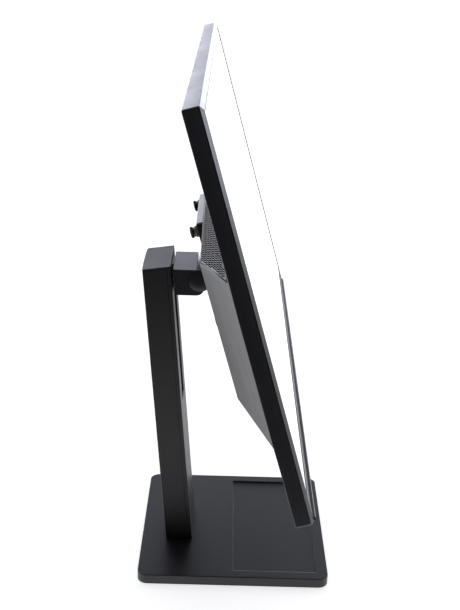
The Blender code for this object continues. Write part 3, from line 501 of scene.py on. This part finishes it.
def makeWorld():
    # a soft surround: dark on the near side and light on the far side, and brightest along the horizon;
    # light = dark + side * (horizon + climb * (upper - horizon)), with side and climb eased from 0 to 1
    world = bpy.data.worlds.new("studio")
    world.use_nodes = True
    bpy.context.scene.world = world
    tree = world.node_tree
    direction = addNode(tree, "ShaderNodeTexCoord").outputs["Generated"]
    axes = addNode(tree, "ShaderNodeSeparateXYZ", {"Vector": direction})
    climb = addNode(tree, "ShaderNodeMapRange", {"Value": axes.outputs["Z"], "From Min": studio["rise"][0],
            "From Max": studio["rise"][1], "To Min": studio["horizon"],
            "To Max": studio["upper"]}, interpolation_type="SMOOTHSTEP")
    side = addNode(tree, "ShaderNodeMapRange", {"Value": axes.outputs["X"], "From Min": studio["turn"][0],
            "From Max": studio["turn"][1]}, interpolation_type="SMOOTHSTEP")
    light = addNode(tree, "ShaderNodeMath", {0: side.outputs["Result"], 1: climb.outputs["Result"],
            2: studio["dark"]}, operation="MULTIPLY_ADD")
    fillSockets(tree, tree.nodes["Background"], {"Color": toLinear(studio["sky"]),
            "Strength": light.outputs["Value"]})


def makeStudio():
    # floor corners at (+-half, +-half), and walls between points at wallShare * half * (cos a, sin a)
    half, low, card = studio["floorHalf"], studio["floorDrop"], studio["card"]
    makeStagePiece("floor", [(x * half, y * half, low) for x, y in ((-1, -1), (1, -1), (1, 1), (-1, 1))],
            "seamless paper, floor")
    # a black card that only reflections see: it keeps the near side of glossy plastic dark
    ends = ((-1, "low"), (1, "low"), (1, "high"), (-1, "high"))
    makeStagePiece("blackCard", [(card["x"], side * card["halfWidth"], card[level]) for side, level in ends],
            "moulded rubber", "glossy")
    # pale walls that only the camera sees
    reach, top = half * studio["wallShare"], studio["wallHeight"]
    walls = [(math.cos(a) * reach, math.sin(a) * reach) for a in np.radians([45, 135, 225, 315])]
    for k, (x, y) in enumerate(walls):
        nextX, nextY = walls[(k + 1) % 4]
        makeStagePiece("wall%d" % k, [(x, y, 0), (nextX, nextY, 0), (nextX, nextY, top), (x, y, top)],
                "seamless paper, walls", "camera")
    for name, (place, aim, width, height, power) in studio["softboxes"].items():
        data = bpy.data.lights.new(name, "AREA")
        data.shape, data.size, data.size_y, data.energy = "RECTANGLE", width, height, power
        box = addObject(name, data)
        box.location = place
        box.rotation_euler = (Vector(aim) - Vector(place)).to_track_quat("-Z", "Y").to_euler()
    makeWorld()
    bpy.context.scene.view_settings.view_transform = "Standard"


makeCamera()
makeStudio()
print("camera, floor and light made")

base = {"corner": 0.0115, "edge": 0.0009, "lowEdge": 0.0006, "wall": 0.0025, "ceiling": 0.0090,
        "recessMargin": 0.0130, "recessRear": -0.0005, "recessDepth": 0.0017, "recessCorner": 0.0015,
        "recessEdge": 0.0007, "leastCorner": 0.0004, "floorInset": 0.012, "flatInset": 0.002, "blend": 0.0040}
footTread = {"groove": 0.0004, "edge": 0.0006, "rings": (0.50, 0.53, 0.60, 0.63), "middle": 0.0005}


def makeBase():
    # rings of rounded rectangles from the middle of the tray recess, up its wall, out to the rim, down the
    # side, round the lower edge and up inside; each ring is a rectangle moved in by its inset
    low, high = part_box("base_cover")
    low2, high2, top = np.array(low[:2]), np.array(high[:2]), high.z
    recessLow = low2 + base["recessMargin"]
    recessHigh = np.array([high2[0] - base["recessMargin"], base["recessRear"]])
    floor, fillet, flat = top - base["recessDepth"], base["recessEdge"], base["flatInset"]
    rings = []
    for inset, height in [(base["floorInset"], floor), (flat, floor), (fillet, floor),
            (fillet * bulge, floor + fillet * bulge), (0, floor + fillet), (0, top - fillet),
            (-fillet * bulge, top - fillet * bulge), (-fillet, top), (-flat, top)]:
        corner = max(base["recessCorner"] - inset, base["leastCorner"])
        rings.append(levelRing(roundedLoop(recessLow + inset, recessHigh - inset, corner, 8), height))
    profile = [(base["blend"], top)]
    profile += [(inset, top - drop) for inset, drop in edgeArc(base["edge"], 5)[::-1]]
    profile += [(inset, low.z + drop) for inset, drop in edgeArc(base["lowEdge"], 4)]
    profile += [(base["wall"], low.z), (base["wall"], base["ceiling"])]
    for inset, height in profile:
        corner = base["corner"] - inset
        rings.append(levelRing(roundedLoop(low2 + inset, high2 - inset, corner, 8), height))
    piece = addPiece("baseCover", *loft(rings), "base", "base_plastic")
    flattenShading(piece)
    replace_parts(piece, "base_cover")


def makeFeet():
    # a turned pad, (r cos a, r sin a, h), with a rounded edge and a ring groove in its tread
    for name in ("foot_front_left", "foot_front_right", "foot_rear_left", "foot_rear_right"):
        low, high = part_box(name)
        centre, radius = (low + high) / 2, (high.x - low.x) / 2
        edge, middle = footTread["edge"], footTread["middle"]
        depths = (0.0, footTread["groove"], footTread["groove"], 0.0)
        profile = [(middle, 0.0)]
        profile += [(radius * share, depth) for share, depth in zip(footTread["rings"], depths)]
        profile += [(radius - edge, 0.0), (radius - edge * bulge, edge * bulge), (radius, edge),
                (radius, high.z), (middle, high.z)]
        piece = addPiece(name.replace("_", "-") + "-pad", *lathe(profile, (centre.x, centre.y, 0), "Z"),
                "base", "foot_rubber")
        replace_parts(piece, name)


makeBase()
makeFeet()
print("base made")

column = {"crown": 0.0010, "wall": 0.0022, "coverDepth": 0.0040, "lid": 0.0018, "topDrop": 3.7,
          "edge": 0.0007, "corner": 0.0003, "slotLow": 0.1680, "slotHigh": 0.3275, "slotHalf": 0.0140,
          "slotCorner": 0.0020, "gap": 0.0003,
          "slotEdge": ((0.0, 0.0004), (0.0002, 0.0001), (0.0006, 0.0))}   # how far out, how deep


def makeColumn():
    # prisms: the outline's back is a crown, (half * cos a, rear + crown * sin a); their ends are the level
    # plane just above the base and the sloping top, so the height there is a function of the outline's y
    low, high = localBox("column_rear_shell", columnFrame)
    coverLow, coverHigh = localBox("column_front_cover", columnFrame)
    front, half, wall, edge = coverLow[1], high[0], column["wall"], column["edge"]
    rear, seam = high[1] - column["crown"], front + column["coverDepth"]
    slope = math.tan(math.radians(column["topDrop"]))
    topAt = coverHigh[2] + front * slope   # height of the top at y = 0

    def foot(outline):
        # where the level plane just above the base crosses the leaning column: (gap + y sin lean) / cos lean
        return (column["gap"] + outline[:, 1] * math.sin(columnLean)) / math.cos(columnLean)

    def top(outline):
        # the sloping top: topAt - y * tan(drop)
        return topAt - outline[:, 1] * slope

    def shoulder(outline):
        # the sloping top, less the lid
        return top(outline) - column["lid"]

    angles = np.radians(np.linspace(0, 180, 13))
    crown = np.stack([half * np.cos(angles), rear + column["crown"] * np.sin(angles)], -1)
    inner = np.array([(-half, seam), (-half + wall, seam), (-half + wall, rear - wall),
            (half - wall, rear - wall), (half - wall, seam)])
    shell = np.concatenate([[(half, seam)], crown, inner])
    piece = addPiece("columnShell", *prism(shell, foot, shoulder, "XY"), "stand", "column_plastic",
            columnFrame)
    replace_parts(softenEdges(piece, edge), "column_rear_shell")

    lidOutline = np.concatenate([crown, [(-half, front), (half, front)]])
    piece = addPiece("columnLid", *prism(lidOutline, shoulder, top, "XY"), "stand", "column_plastic",
            columnFrame)
    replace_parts(softenEdges(piece, edge), "column_top_cap")

    # the front cover: loops in x and height, from the slot's inner edge, over the face, to the seam and back
    def loop(inset, y):
        line = np.array([[0.0, y]])
        rise = max(inset, 0)
        return depthRing(roundedLoop((-half + inset, foot(line)[0] + rise),
                (half - inset, shoulder(line)[0] - rise), column["corner"], 5), y)

    def slot(grow, y):
        return depthRing(roundedLoop((-column["slotHalf"] - grow, column["slotLow"] - grow),
                (column["slotHalf"] + grow, column["slotHigh"] + grow), column["slotCorner"] + grow, 5), y)

    rings = [slot(0.0, front + wall)] + [slot(grow, front + depth) for grow, depth in column["slotEdge"]]
    rings += [loop(inset, y) for inset, y in ((edge, front), (edge * bulge, front + edge * bulge),
            (0.0, front + edge), (0.0, seam), (wall, seam), (wall, front + wall))]
    piece = addPiece("columnFront", *loft(rings, True), "stand", "column_plastic", columnFrame)
    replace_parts(flattenShading(piece), "column_front_cover")


makeColumn()
print("column made")

head = {"corner": 0.0086, "cornerShift": 0.0036, "edge": 0.0006, "edgeAngle": 40, "seat": 0.0003,
        "seatTop": 0.0038, "seatEnd": -106, "backSlope": 0.0030, "bore": 0.0034, "barrelEdge": 0.0003}
plate = {"corner": 0.0040, "edge": 0.0007, "frontEdge": 0.0004, "border": 0.0040, "holeEdge": 0.0005,
         "gap": 0.0003, "step": 0.0511, "round": 0.999}
thumbScrew = {
    "flutes": 24, "fluteDepth": 0.00022, "steps": 96, "gap": 0.0003, "tip": 0.0017, "stem": 0.0019,
    "tipEdge": 0.0003, "middle": 0.0004, "dish": (0.0026, 0.0022, 0.0006),
    # inset and height of the knob's rings, and how much of the fluting each takes
    "lower": ((0.0005, 0.0, 0), (0.0001, 0.0004, 0.4), (0.0002, 0.0010, 1), (0.0002, 0.0020, 1),
              (0.0010, 0.0031, 0), (0.0010, 0.0049, 0), (0.0002, 0.0060, 1)),
    "upper": ((0.0002, -0.0010, 1), (0.0003, -0.0004, 0.4), (0.0007, 0.0, 0)),
}


def makeHead():
    # the head's outline in y and z carried across; its front is hollowed to an arc round the tilt barrel,
    # (y + seat * cos a, z + seat * sin a), and its lower corner is another arc
    low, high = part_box("head_housing")
    barrelLow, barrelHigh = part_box("tilt_barrel")
    y, z = tilt["pos_m"][1:]
    radius = (barrelHigh.z - barrelLow.z) / 2
    seat, corner = radius + head["seat"], head["corner"]
    start = math.acos(head["seatTop"] / seat)
    angles = start + np.linspace(0, 1, 25) * (math.radians(head["seatEnd"]) - start)
    arc = np.stack([y + seat * np.cos(angles), z + seat * np.sin(angles)], -1)
    turn = np.radians(np.linspace(-150, -90, 8))
    lower = np.stack([y + head["cornerShift"] + corner * np.cos(turn), low.z + corner * (1 + np.sin(turn))],
            -1)
    back = [(high.y - head["backSlope"], low.z), (high.y, high.z), (y + head["seatTop"], high.z)]
    piece = addPiece("headHousing", *prism(np.concatenate([back, arc, lower]), low.x, high.x, "YZ"),
            "carriage", "head_plastic")
    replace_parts(softenEdges(piece, head["edge"], 3, head["edgeAngle"]), "head_housing")

    edge, bore = head["barrelEdge"], head["bore"]
    half = [(radius - edge, 0.0), (radius - edge * bulge, edge * bulge), (radius, edge)]
    profile = [(bore, barrelLow.x)] + [(r, barrelLow.x + depth) for r, depth in half]
    profile += [(r, barrelHigh.x - depth) for r, depth in half[::-1]] + [(bore, barrelHigh.x)]
    piece = addPiece("tiltBarrel", *lathe(profile, (0, y, z), "X", 72), "tilt_head", "head_plastic")
    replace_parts(piece, "tilt_barrel")


def makeMount():
    # the plate: rings of rounded squares from the hub's hole over the back face, round the edge and in again
    low, high = localBox("mount_plate", displayFrame)
    gap, corner, middle, holeEdge = plate["gap"], plate["corner"], plate["step"], plate["holeEdge"]
    hole = localBox("pivot_hub", displayFrame)[1][0] + gap
    step = localBox("pivot_keeper", displayFrame)[1][0] + gap
    front, back, half = low[1], high[1], high[0]

    def ring(size, corner, depth):
        return depthRing(roundedLoop((-size, -size), (size, size), corner, 9), depth)

    rings = [ring(size, size * plate["round"], depth) for size, depth in ((step, front), (step, middle),
             (hole, middle), (hole, back - holeEdge))]
    rings += [ring(hole + holeEdge, hole, back), ring(half - plate["border"], corner, back)]
    rings += [ring(half - inset, corner - inset, back - drop)
              for inset, drop in edgeArc(plate["edge"], 4)[::-1]]
    rings += [ring(half - inset, corner - inset, front + drop)
              for inset, drop in edgeArc(plate["frontEdge"], 3)]
    piece = addPiece("mountPlate", *loft(rings, True), "display", "head_plastic", displayFrame)
    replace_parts(flattenShading(piece), "mount_plate")
    return back


def makeThumbScrews(plateBack):
    # a stem and a knob as (radius, depth, share of the fluting), turned round with the flutes' ripple
    tip, stem, middle = thumbScrew["tip"], thumbScrew["stem"], thumbScrew["middle"]
    dishOuter, dishInner, dishDepth = thumbScrew["dish"]
    ripple = {"depth": thumbScrew["fluteDepth"], "count": thumbScrew["flutes"]}
    for name in ("upper_left", "upper_right", "lower_left", "lower_right"):
        node = "mount_screw_" + name
        low, high = localBox(node, displayFrame)
        centre, radius = (low + high) / 2, (high[0] - low[0]) / 2
        foot, top = plateBack + thumbScrew["gap"], high[1]
        profile = [(middle, low[1], 0), (tip, low[1], 0), (stem, low[1] + thumbScrew["tipEdge"], 0),
                (stem, foot, 0)]
        profile += [(radius - inset, foot + rise, share) for inset, rise, share in thumbScrew["lower"]]
        profile += [(radius - inset, top + rise, share) for inset, rise, share in thumbScrew["upper"]]
        profile += [(dishOuter, top, 0), (dishInner, top - dishDepth, 0), (middle, top - dishDepth, 0)]
        piece = addPiece("thumbScrew-" + name.replace("_", "-"),
                *lathe(profile, (centre[0], 0, centre[2]), "Y", thumbScrew["steps"], ripple),
                "display", "screw_metal", displayFrame)
        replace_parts(piece, node)


makeHead()
makeThumbScrews(makeMount())
print("head and mount made")

cover = {"edge": 0.0014, "edgeDrop": 0.0009, "corner": 0.0022, "wall": 0.0022, "creaseHalf": 0.0011,
         "crest": (0.1780, 0.1510), "shoulder": 0.0720, "hip": -0.0726, "heel": 0.2050,
         "back": (0.1830, 0.0570, -0.0800), "rim": 0.0165, "rimDrop": 0.004, "plateGap": 0.0003,
         "sockets": ((0.0500, -0.1240), (0.1600, -0.1000)), "socketCorner": 0.0015}
vents = {"topMargin": 0.0070, "cornerMargin": 0.0030, "pitch": 0.0214, "rowPitch": 0.00088, "length": 0.0110,
         "height": 0.00120, "point": 1.1, "cornerSlope": 10.5, "gap": 0.0002, "edge": 0.0008, "thick": 0.0016}


def turning(outline):
    # 1 for an outline that runs anticlockwise, -1 for clockwise: the sign of the sum of x0 * y1 - x1 * y0
    ahead = np.roll(outline, -1, 0)
    return np.sign(np.sum(outline[:, 0] * ahead[:, 1] - ahead[:, 0] * outline[:, 1]))


def shrink(outline, amount):
    # a convex outline with every side moved in by amount; each corner is where two moved sides meet
    outline = np.asarray(outline, float)
    ahead = np.roll(outline, -1, 0) - outline
    ahead /= np.linalg.norm(ahead, axis=1, keepdims=True)
    inward = np.stack([-ahead[:, 1], ahead[:, 0]], -1) * turning(outline)
    start = outline + inward * amount
    before, beforeStart = np.roll(ahead, 1, 0), np.roll(start, 1, 0)
    cross = before[:, 0] * ahead[:, 1] - before[:, 1] * ahead[:, 0]
    gap = start - beforeStart
    reach = (gap[:, 0] * ahead[:, 1] - gap[:, 1] * ahead[:, 0]) / cross
    return beforeStart + before * reach[:, None]


def coverShape():
    # corner points of the facets as (x, height, depth), and each facet as three of them
    low, high = localBox("rear_cover", displayFrame)
    half, bottom, back = high[0], low[2], high[1]
    rim, (backX, backTop, backBottom) = cover["rim"], cover["back"]
    corners = {"crest": (*cover["crest"], rim), "shoulder": (half, cover["shoulder"], rim),
            "hip": (half, cover["hip"], rim), "heel": (cover["heel"], bottom, rim),
            "backTop": (backX, backTop, back), "backBottom": (backX, backBottom, back)}
    facets = [("backTop", "shoulder", "hip"), ("backTop", "shoulder", "crest"), ("backBottom", "hip", "heel")]
    return {"low": low, "high": high, "corners": corners, "facets": facets}


shape = coverShape()


def planeDepth(names, x, up):
    # depth at (x, up) of the plane through three corner points: d0 - (nx (x - x0) + nu (up - u0)) / nd
    a, b, c = (np.array(shape["corners"][name]) for name in names)
    normal = np.cross(b - a, c - a)
    return a[2] - (normal[0] * (np.abs(x) - a[0]) + normal[1] * (up - a[1])) / normal[2]


def coverDepth(x, up):
    # the cover's outer face: the rim or the lowest of the back, side, top, bottom and corner planes,
    # whichever is deeper
    rim, back, bottom = cover["rim"], shape["high"][1], shape["low"][2]
    crestUp, (_, backTop, backBottom) = cover["crest"][1], cover["back"]
    upper = rim + (back - rim) * (crestUp - up) / (crestUp - backTop)
    lower = rim + (back - rim) * (up - bottom) / (backBottom - bottom)
    depth = np.minimum(np.minimum(upper, lower), back)
    for names in shape["facets"]:
        depth = np.minimum(depth, planeDepth(names, x, up))
    return np.maximum(depth, rim)


def ventOutlines():
    # each upper facet's corners, moved in by its margin; the right one is the left one with x reversed
    crest, (backX, backTop, _) = cover["crest"], cover["back"]
    top = [(-crest[0], crest[1]), (-backX, backTop), (backX, backTop), crest]
    left = [(-shape["high"][0], cover["shoulder"]), (-backX, backTop), (-crest[0], crest[1])]
    right = [(-x, up) for x, up in left]
    return {"top": shrink(top, vents["topMargin"]), "left": shrink(left, vents["cornerMargin"]),
            "right": shrink(right, vents["cornerMargin"])}


def slotField(outline, slope):
    # slot centres: i * pitch along the rows plus j * rowPitch across them, every second row moved half a
    # pitch; a slot, a flat hexagon, is kept where all of it is inside the outline
    inside = shrink(outline, vents["edge"])
    along = np.array([math.cos(slope), math.sin(slope)])
    across = np.array([-along[1], along[0]])
    reach = np.ptp(inside, axis=0).max()
    rowCount, stepCount = int(reach / vents["rowPitch"]), int(reach / vents["pitch"]) + 1
    i, j = np.meshgrid(np.arange(-stepCount, stepCount + 1), np.arange(-rowCount, rowCount + 1))
    places = (inside.mean(0) + ((i + 0.5 * (j % 2)) * vents["pitch"])[..., None] * along
              + (j * vents["rowPitch"])[..., None] * across).reshape(-1, 2)
    halfLength, halfHeight = vents["length"] / 2, vents["height"] / 2
    straight = halfLength - halfHeight * vents["point"]
    form = np.array([(halfLength, 0), (straight, halfHeight), (-straight, halfHeight),
            (-halfLength, 0), (-straight, -halfHeight), (straight, -halfHeight)])
    slots = places[:, None, :] + form[:, :1] * along + form[:, 1:] * across
    side = np.roll(inside, -1, 0) - inside
    offset = slots[:, :, None, :] - inside
    turn = side[:, 0] * offset[..., 1] - side[:, 1] * offset[..., 0]
    return list(slots[np.all(turn * turning(inside) > 0, axis=(1, 2))])


def thicken(piece, thickness):
    # gives a sheet its wall, inwards
    wall = piece.modifiers.new("wall", "SOLIDIFY")
    wall.thickness = thickness
    wall.offset = -1
    wall.use_even_offset = True
    return piece


def creaseLines(low, high):
    # every crease between two corner points as three parallel lines, at -creaseHalf, 0 and creaseHalf across
    # it, cut off just inside the rim
    corners = {name: np.array(point[:2]) for name, point in shape["corners"].items()}
    flip = np.array([-1.0, 1.0])
    creases = [("crest", "shoulder"), ("backTop", "shoulder"), ("backTop", "crest"),
            ("backTop", "backBottom"), ("hip", "backBottom"), ("heel", "backBottom"), ("hip", "heel")]
    runs = [(corners[a] * side, corners[b] * side) for a, b in creases for side in (1.0, flip)]
    runs += [(corners[name], corners[name] * flip) for name in ("crest", "backTop", "backBottom")]
    inside = cover["creaseHalf"] + cover["edge"]
    lines = []
    for start, end in runs:
        along = (end - start) / np.linalg.norm(end - start)
        across = np.array([-along[1], along[0]]) * cover["creaseHalf"]
        for shift in (-across, np.zeros(2), across):
            ends = np.clip(np.array([start, end]) + shift, low + inside, high - inside)
            lines.append((tuple(ends[0]), tuple(ends[1])))
    return lines


def makeRearCover():
    # the back is a sheet over (x, height) cut round the vents, the plate and the sockets, with lines beside
    # its creases to round them; its rim is rounded by inset edge * (1 - cos a) and drop
    # edgeDrop * (1 - sin a), and the side walls run forward from there
    low, high = shape["low"][[0, 2]], shape["high"][[0, 2]]

    def outer(inset):
        return roundedLoop(low + inset, high - inset, cover["corner"] - inset, 6, 12)

    gap = cover["plateGap"]
    plateLow, plateHigh = (corner[[0, 2]] for corner in localBox("mount_plate", displayFrame))
    hole = roundedLoop(plateLow - gap, plateHigh + gap, plate["corner"] + gap, 5)
    sockets = roundedLoop(*cover["sockets"], cover["socketCorner"], 4)
    edgeLoop = outer(cover["edge"])
    points, faces = cutSheet(edgeLoop, list(ventOutlines().values()) + [hole, sockets],
            creaseLines(low, high))
    sheet = depthRing(points, coverDepth(points[:, 0], points[:, 1]))
    top = coverDepth(*edgeLoop.T)
    rings = [depthRing(outer(inset * cover["edge"]), top - drop * cover["edgeDrop"])
             for inset, drop in edgeArc(1, 6)[::-1]]
    rings += [depthRing(outer(0), level) for level in (cover["rim"] - cover["rimDrop"], shape["low"][1])]
    rings = np.array(rings)
    walls = np.array(gridFaces(*rings.shape[:2])) + len(sheet)
    piece = addPiece("rearCover", np.concatenate([sheet, rings.reshape(-1, 3)]), faces + walls.tolist(),
            "display", "cover_plastic", displayFrame)
    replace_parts(flattenShading(thicken(piece, cover["wall"])), "rear_cover")


def makeVents():
    # each vent is a flush sheet over (x, height), at the cover's depth, cut through by staggered slots
    corner = math.radians(vents["cornerSlope"])
    slopes = {"top": 0.0, "left": -corner, "right": corner}
    for name, outline in ventOutlines().items():
        outline = shrink(outline, vents["gap"])
        slots = slotField(outline, slopes[name])
        points, faces = cutSheet(outline, slots)
        sheet = depthRing(points, coverDepth(points[:, 0], points[:, 1]))
        piece = addPiece("ventSheet-" + name, sheet, faces, "display", "cover_plastic", displayFrame)
        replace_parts(thicken(piece, vents["thick"]), "vent_grille_" + name)
        print("vent", name, len(slots), "slots")


makeRearCover()
makeVents()
print("rear cover made")

bezel = {"chamfer": 0.0046, "side": 0.0066, "chin": 0.0235, "edge": 0.0004, "corner": 0.0022,
         "lap": 0.0005, "faceRise": 0.0006, "faceCorner": 0.00132, "windowCorner": 0.0006,
         "crispAngle": 20, "grooveLow": 0.0050, "grooveHigh": 0.0180, "grooveHalf": 0.2940,
         "grooveDepth": 0.0016, "grooveCorner": 0.0050}
lip = {"proud": 0.0020, "sink": 0.0004, "low": 0.0008, "frontLow": 0.0012, "frontHigh": 0.0044,
       "round": 0.0009, "end": 0.0056, "edge": 0.0003, "edgeAngle": 40}


def makeBezel():
    # the face sheet at depth 0 has a window and a groove; the slope runs from it to the back edge, and inside
    # the window the wall runs back to the panel
    low, high = localBox("front_bezel", displayFrame)
    half, bottom, top, back = high[0], low[2], high[2], high[1]
    slope, side = bezel["chamfer"], bezel["side"]
    outer = roundedLoop((-half, bottom), (half, top), bezel["corner"], 5, 4)
    face = roundedLoop((-half + slope, bottom + bezel["faceRise"]), (half - slope, top - slope),
            bezel["faceCorner"], 5, 4)
    window = roundedLoop((-half + side, bottom + bezel["chin"]), (half - side, top - side),
            bezel["windowCorner"], 4, 4)
    groove = roundedLoop((-bezel["grooveHalf"], bottom + bezel["grooveLow"]),
            (bezel["grooveHalf"], bottom + bezel["grooveHigh"]), bezel["grooveCorner"], 7)
    points, faces = cutSheet(face, [window, groove])
    parts, count = [depthRing(points, 0.0)], len(points)
    for rings in ([depthRing(face, 0.0), depthRing(outer, back - bezel["lap"]), depthRing(outer, back)],
            [depthRing(window, 0.0), depthRing(window, back)],
            [depthRing(groove, 0.0), depthRing(groove, bezel["grooveDepth"])]):
        rings = np.array(rings)
        faces += (np.array(gridFaces(*rings.shape[:2])) + count).tolist()
        parts.append(rings.reshape(-1, 3))
        count += rings.shape[0] * rings.shape[1]
    faces.append(list(range(count - len(groove), count)))   # the groove's floor
    backPoints, backFaces = cutSheet(outer, [window])
    parts.append(depthRing(backPoints, back))
    faces += (np.array(backFaces) + count).tolist()
    piece = addPiece("frontBezel", np.concatenate(parts), faces, "display", "bezel_plastic", displayFrame,
            bezel["crispAngle"])
    softenEdges(piece, bezel["edge"], 2, bezel["crispAngle"])
    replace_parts(piece, "front_bezel")

    # the lower lip: an outline in depth and height carried across, with its front edges rounded
    outline = roundCorners([(lip["sink"], bottom + lip["low"]), (-lip["proud"], bottom + lip["frontLow"]),
            (-lip["proud"], bottom + lip["frontHigh"]),
            (lip["sink"], bottom + bezel["grooveLow"])], [0, lip["round"], lip["round"], 0])
    end = half - lip["end"]
    piece = addPiece("chinLip", *prism(outline, -end, end, "YZ"), "display", "bezel_plastic", displayFrame)
    softenEdges(piece, lip["edge"], 2, lip["edgeAngle"])


strip = {"corner": 0.0044, "cornerShare": 0.6,   # each ring's inset and depth from the front
         "rings": ((0.0036, 0.0), (0.0012, 0.0001), (0.0004, 0.0003), (0.0, 0.0007))}


def makeStrip():
    # a shallow matt insert: rings of rounded rectangles, crowned a little towards its middle
    low, high = localBox("chin_strip", displayFrame)
    rings = []
    for inset, depth in [(inset, low[1] + depth) for inset, depth in strip["rings"]] + [(0.0, high[1])]:
        corner = strip["corner"] - inset * strip["cornerShare"]
        rings.append(depthRing(roundedLoop(low[[0, 2]] + inset, high[[0, 2]] - inset, corner, 7), depth))
    piece = addPiece("chinStrip", *loft(rings), "display", "strip_plastic", displayFrame)
    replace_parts(piece, "chin_strip")


screen = {"front": 0.0009, "gap": 0.0003, "edge": 0.0003, "corner": 0.0005, "backCorner": 0.001}


def makeScreen():
    # the panel's glass: a thin sheet behind the bezel, lit over its whole face, that stands forward into the
    # window; rings of rectangles from its face back to its rear
    low, high = localBox("lcd_screen", displayFrame)
    outerLow, outerHigh = (corner[[0, 2]] for corner in localBox("front_bezel", displayFrame))
    front, gap, edge = screen["front"], screen["gap"], screen["edge"]
    stepLow = outerLow + np.array([bezel["side"], bezel["chin"]]) + gap
    stepHigh = outerHigh - bezel["side"] - gap
    behind = roundedLoop(low[[0, 2]], high[[0, 2]], screen["backCorner"], 4)
    rings = [depthRing(roundedLoop(stepLow + inset, stepHigh - inset, screen["corner"], 4), depth)
             for inset, depth in ((edge, front), (0.0, front + edge), (0.0, low[1]))]
    rings += [depthRing(behind, low[1]), depthRing(behind, high[1])]
    piece = addPiece("litPanel", *loft(rings), "display", "screen", displayFrame)
    piece.data.materials.append(finishes["black powder coat"])
    back = displayFrame.inverted()
    for face in piece.data.polygons:   # only the face glows; its edges and back are coated
        face.material_index = int((back @ face.center).y > front + edge)
    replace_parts(piece, "lcd_screen")


# the rings' inset and height, up from the low end and down from the high end
keyCap = {"corner": 0.0012, "cornerShare": 0.4,
          "lower": ((0.0012, 0.0002), (0.0008, 0.0), (0.0003, 0.0001), (0.0, 0.0005)),
          "upper": ((0.0, -0.0002), (0.0002, 0.0))}


def makeKeys():
    # each key is a stack of rounded rectangles with a dished end
    for node in ("menu_button_1", "menu_button_2", "menu_button_3", "power_button"):
        low, high = localBox(node, displayFrame)
        body = "power_key" if node == "power_button" else "menu_key_" + node[-1]
        rings = []
        for inset, height in ([(inset, low[2] + rise) for inset, rise in keyCap["lower"]]
                + [(inset, high[2] + rise) for inset, rise in keyCap["upper"]]):
            corner = keyCap["corner"] - inset * keyCap["cornerShare"]
            rings.append(levelRing(roundedLoop(low[:2] + inset, high[:2] - inset, corner, 6), height))
        piece = addPiece(node.replace("_", "-") + "-cap", *loft(rings), body, "button_plastic", displayFrame)
        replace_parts(piece, node)


makeBezel()
makeStrip()
makeScreen()
makeKeys()
print("front made")

# painted shade: the two sheets behind the vents get the black coat in place of bare metal, so the vent slots look
# dark inside, as they would in shade
paintedShadeLooks = {"panel_tray": finishes["black powder coat"], "mount_frame": finishes["black powder coat"]}


def finishNodes():
    # every imported node gets the material of its slot, or, for the two sheets behind the vents, the black coat
    # that paints the shade seen through the vent slots
    for part in frame["record"]["subparts"]:
        node = frame["nodes"][part["node"]]
        node.data.materials.clear()
        node.data.materials.append(paintedShadeLooks.get(part["node"], slotLooks[part["material_slot"]]))


finishNodes()
print("packed nodes finished")
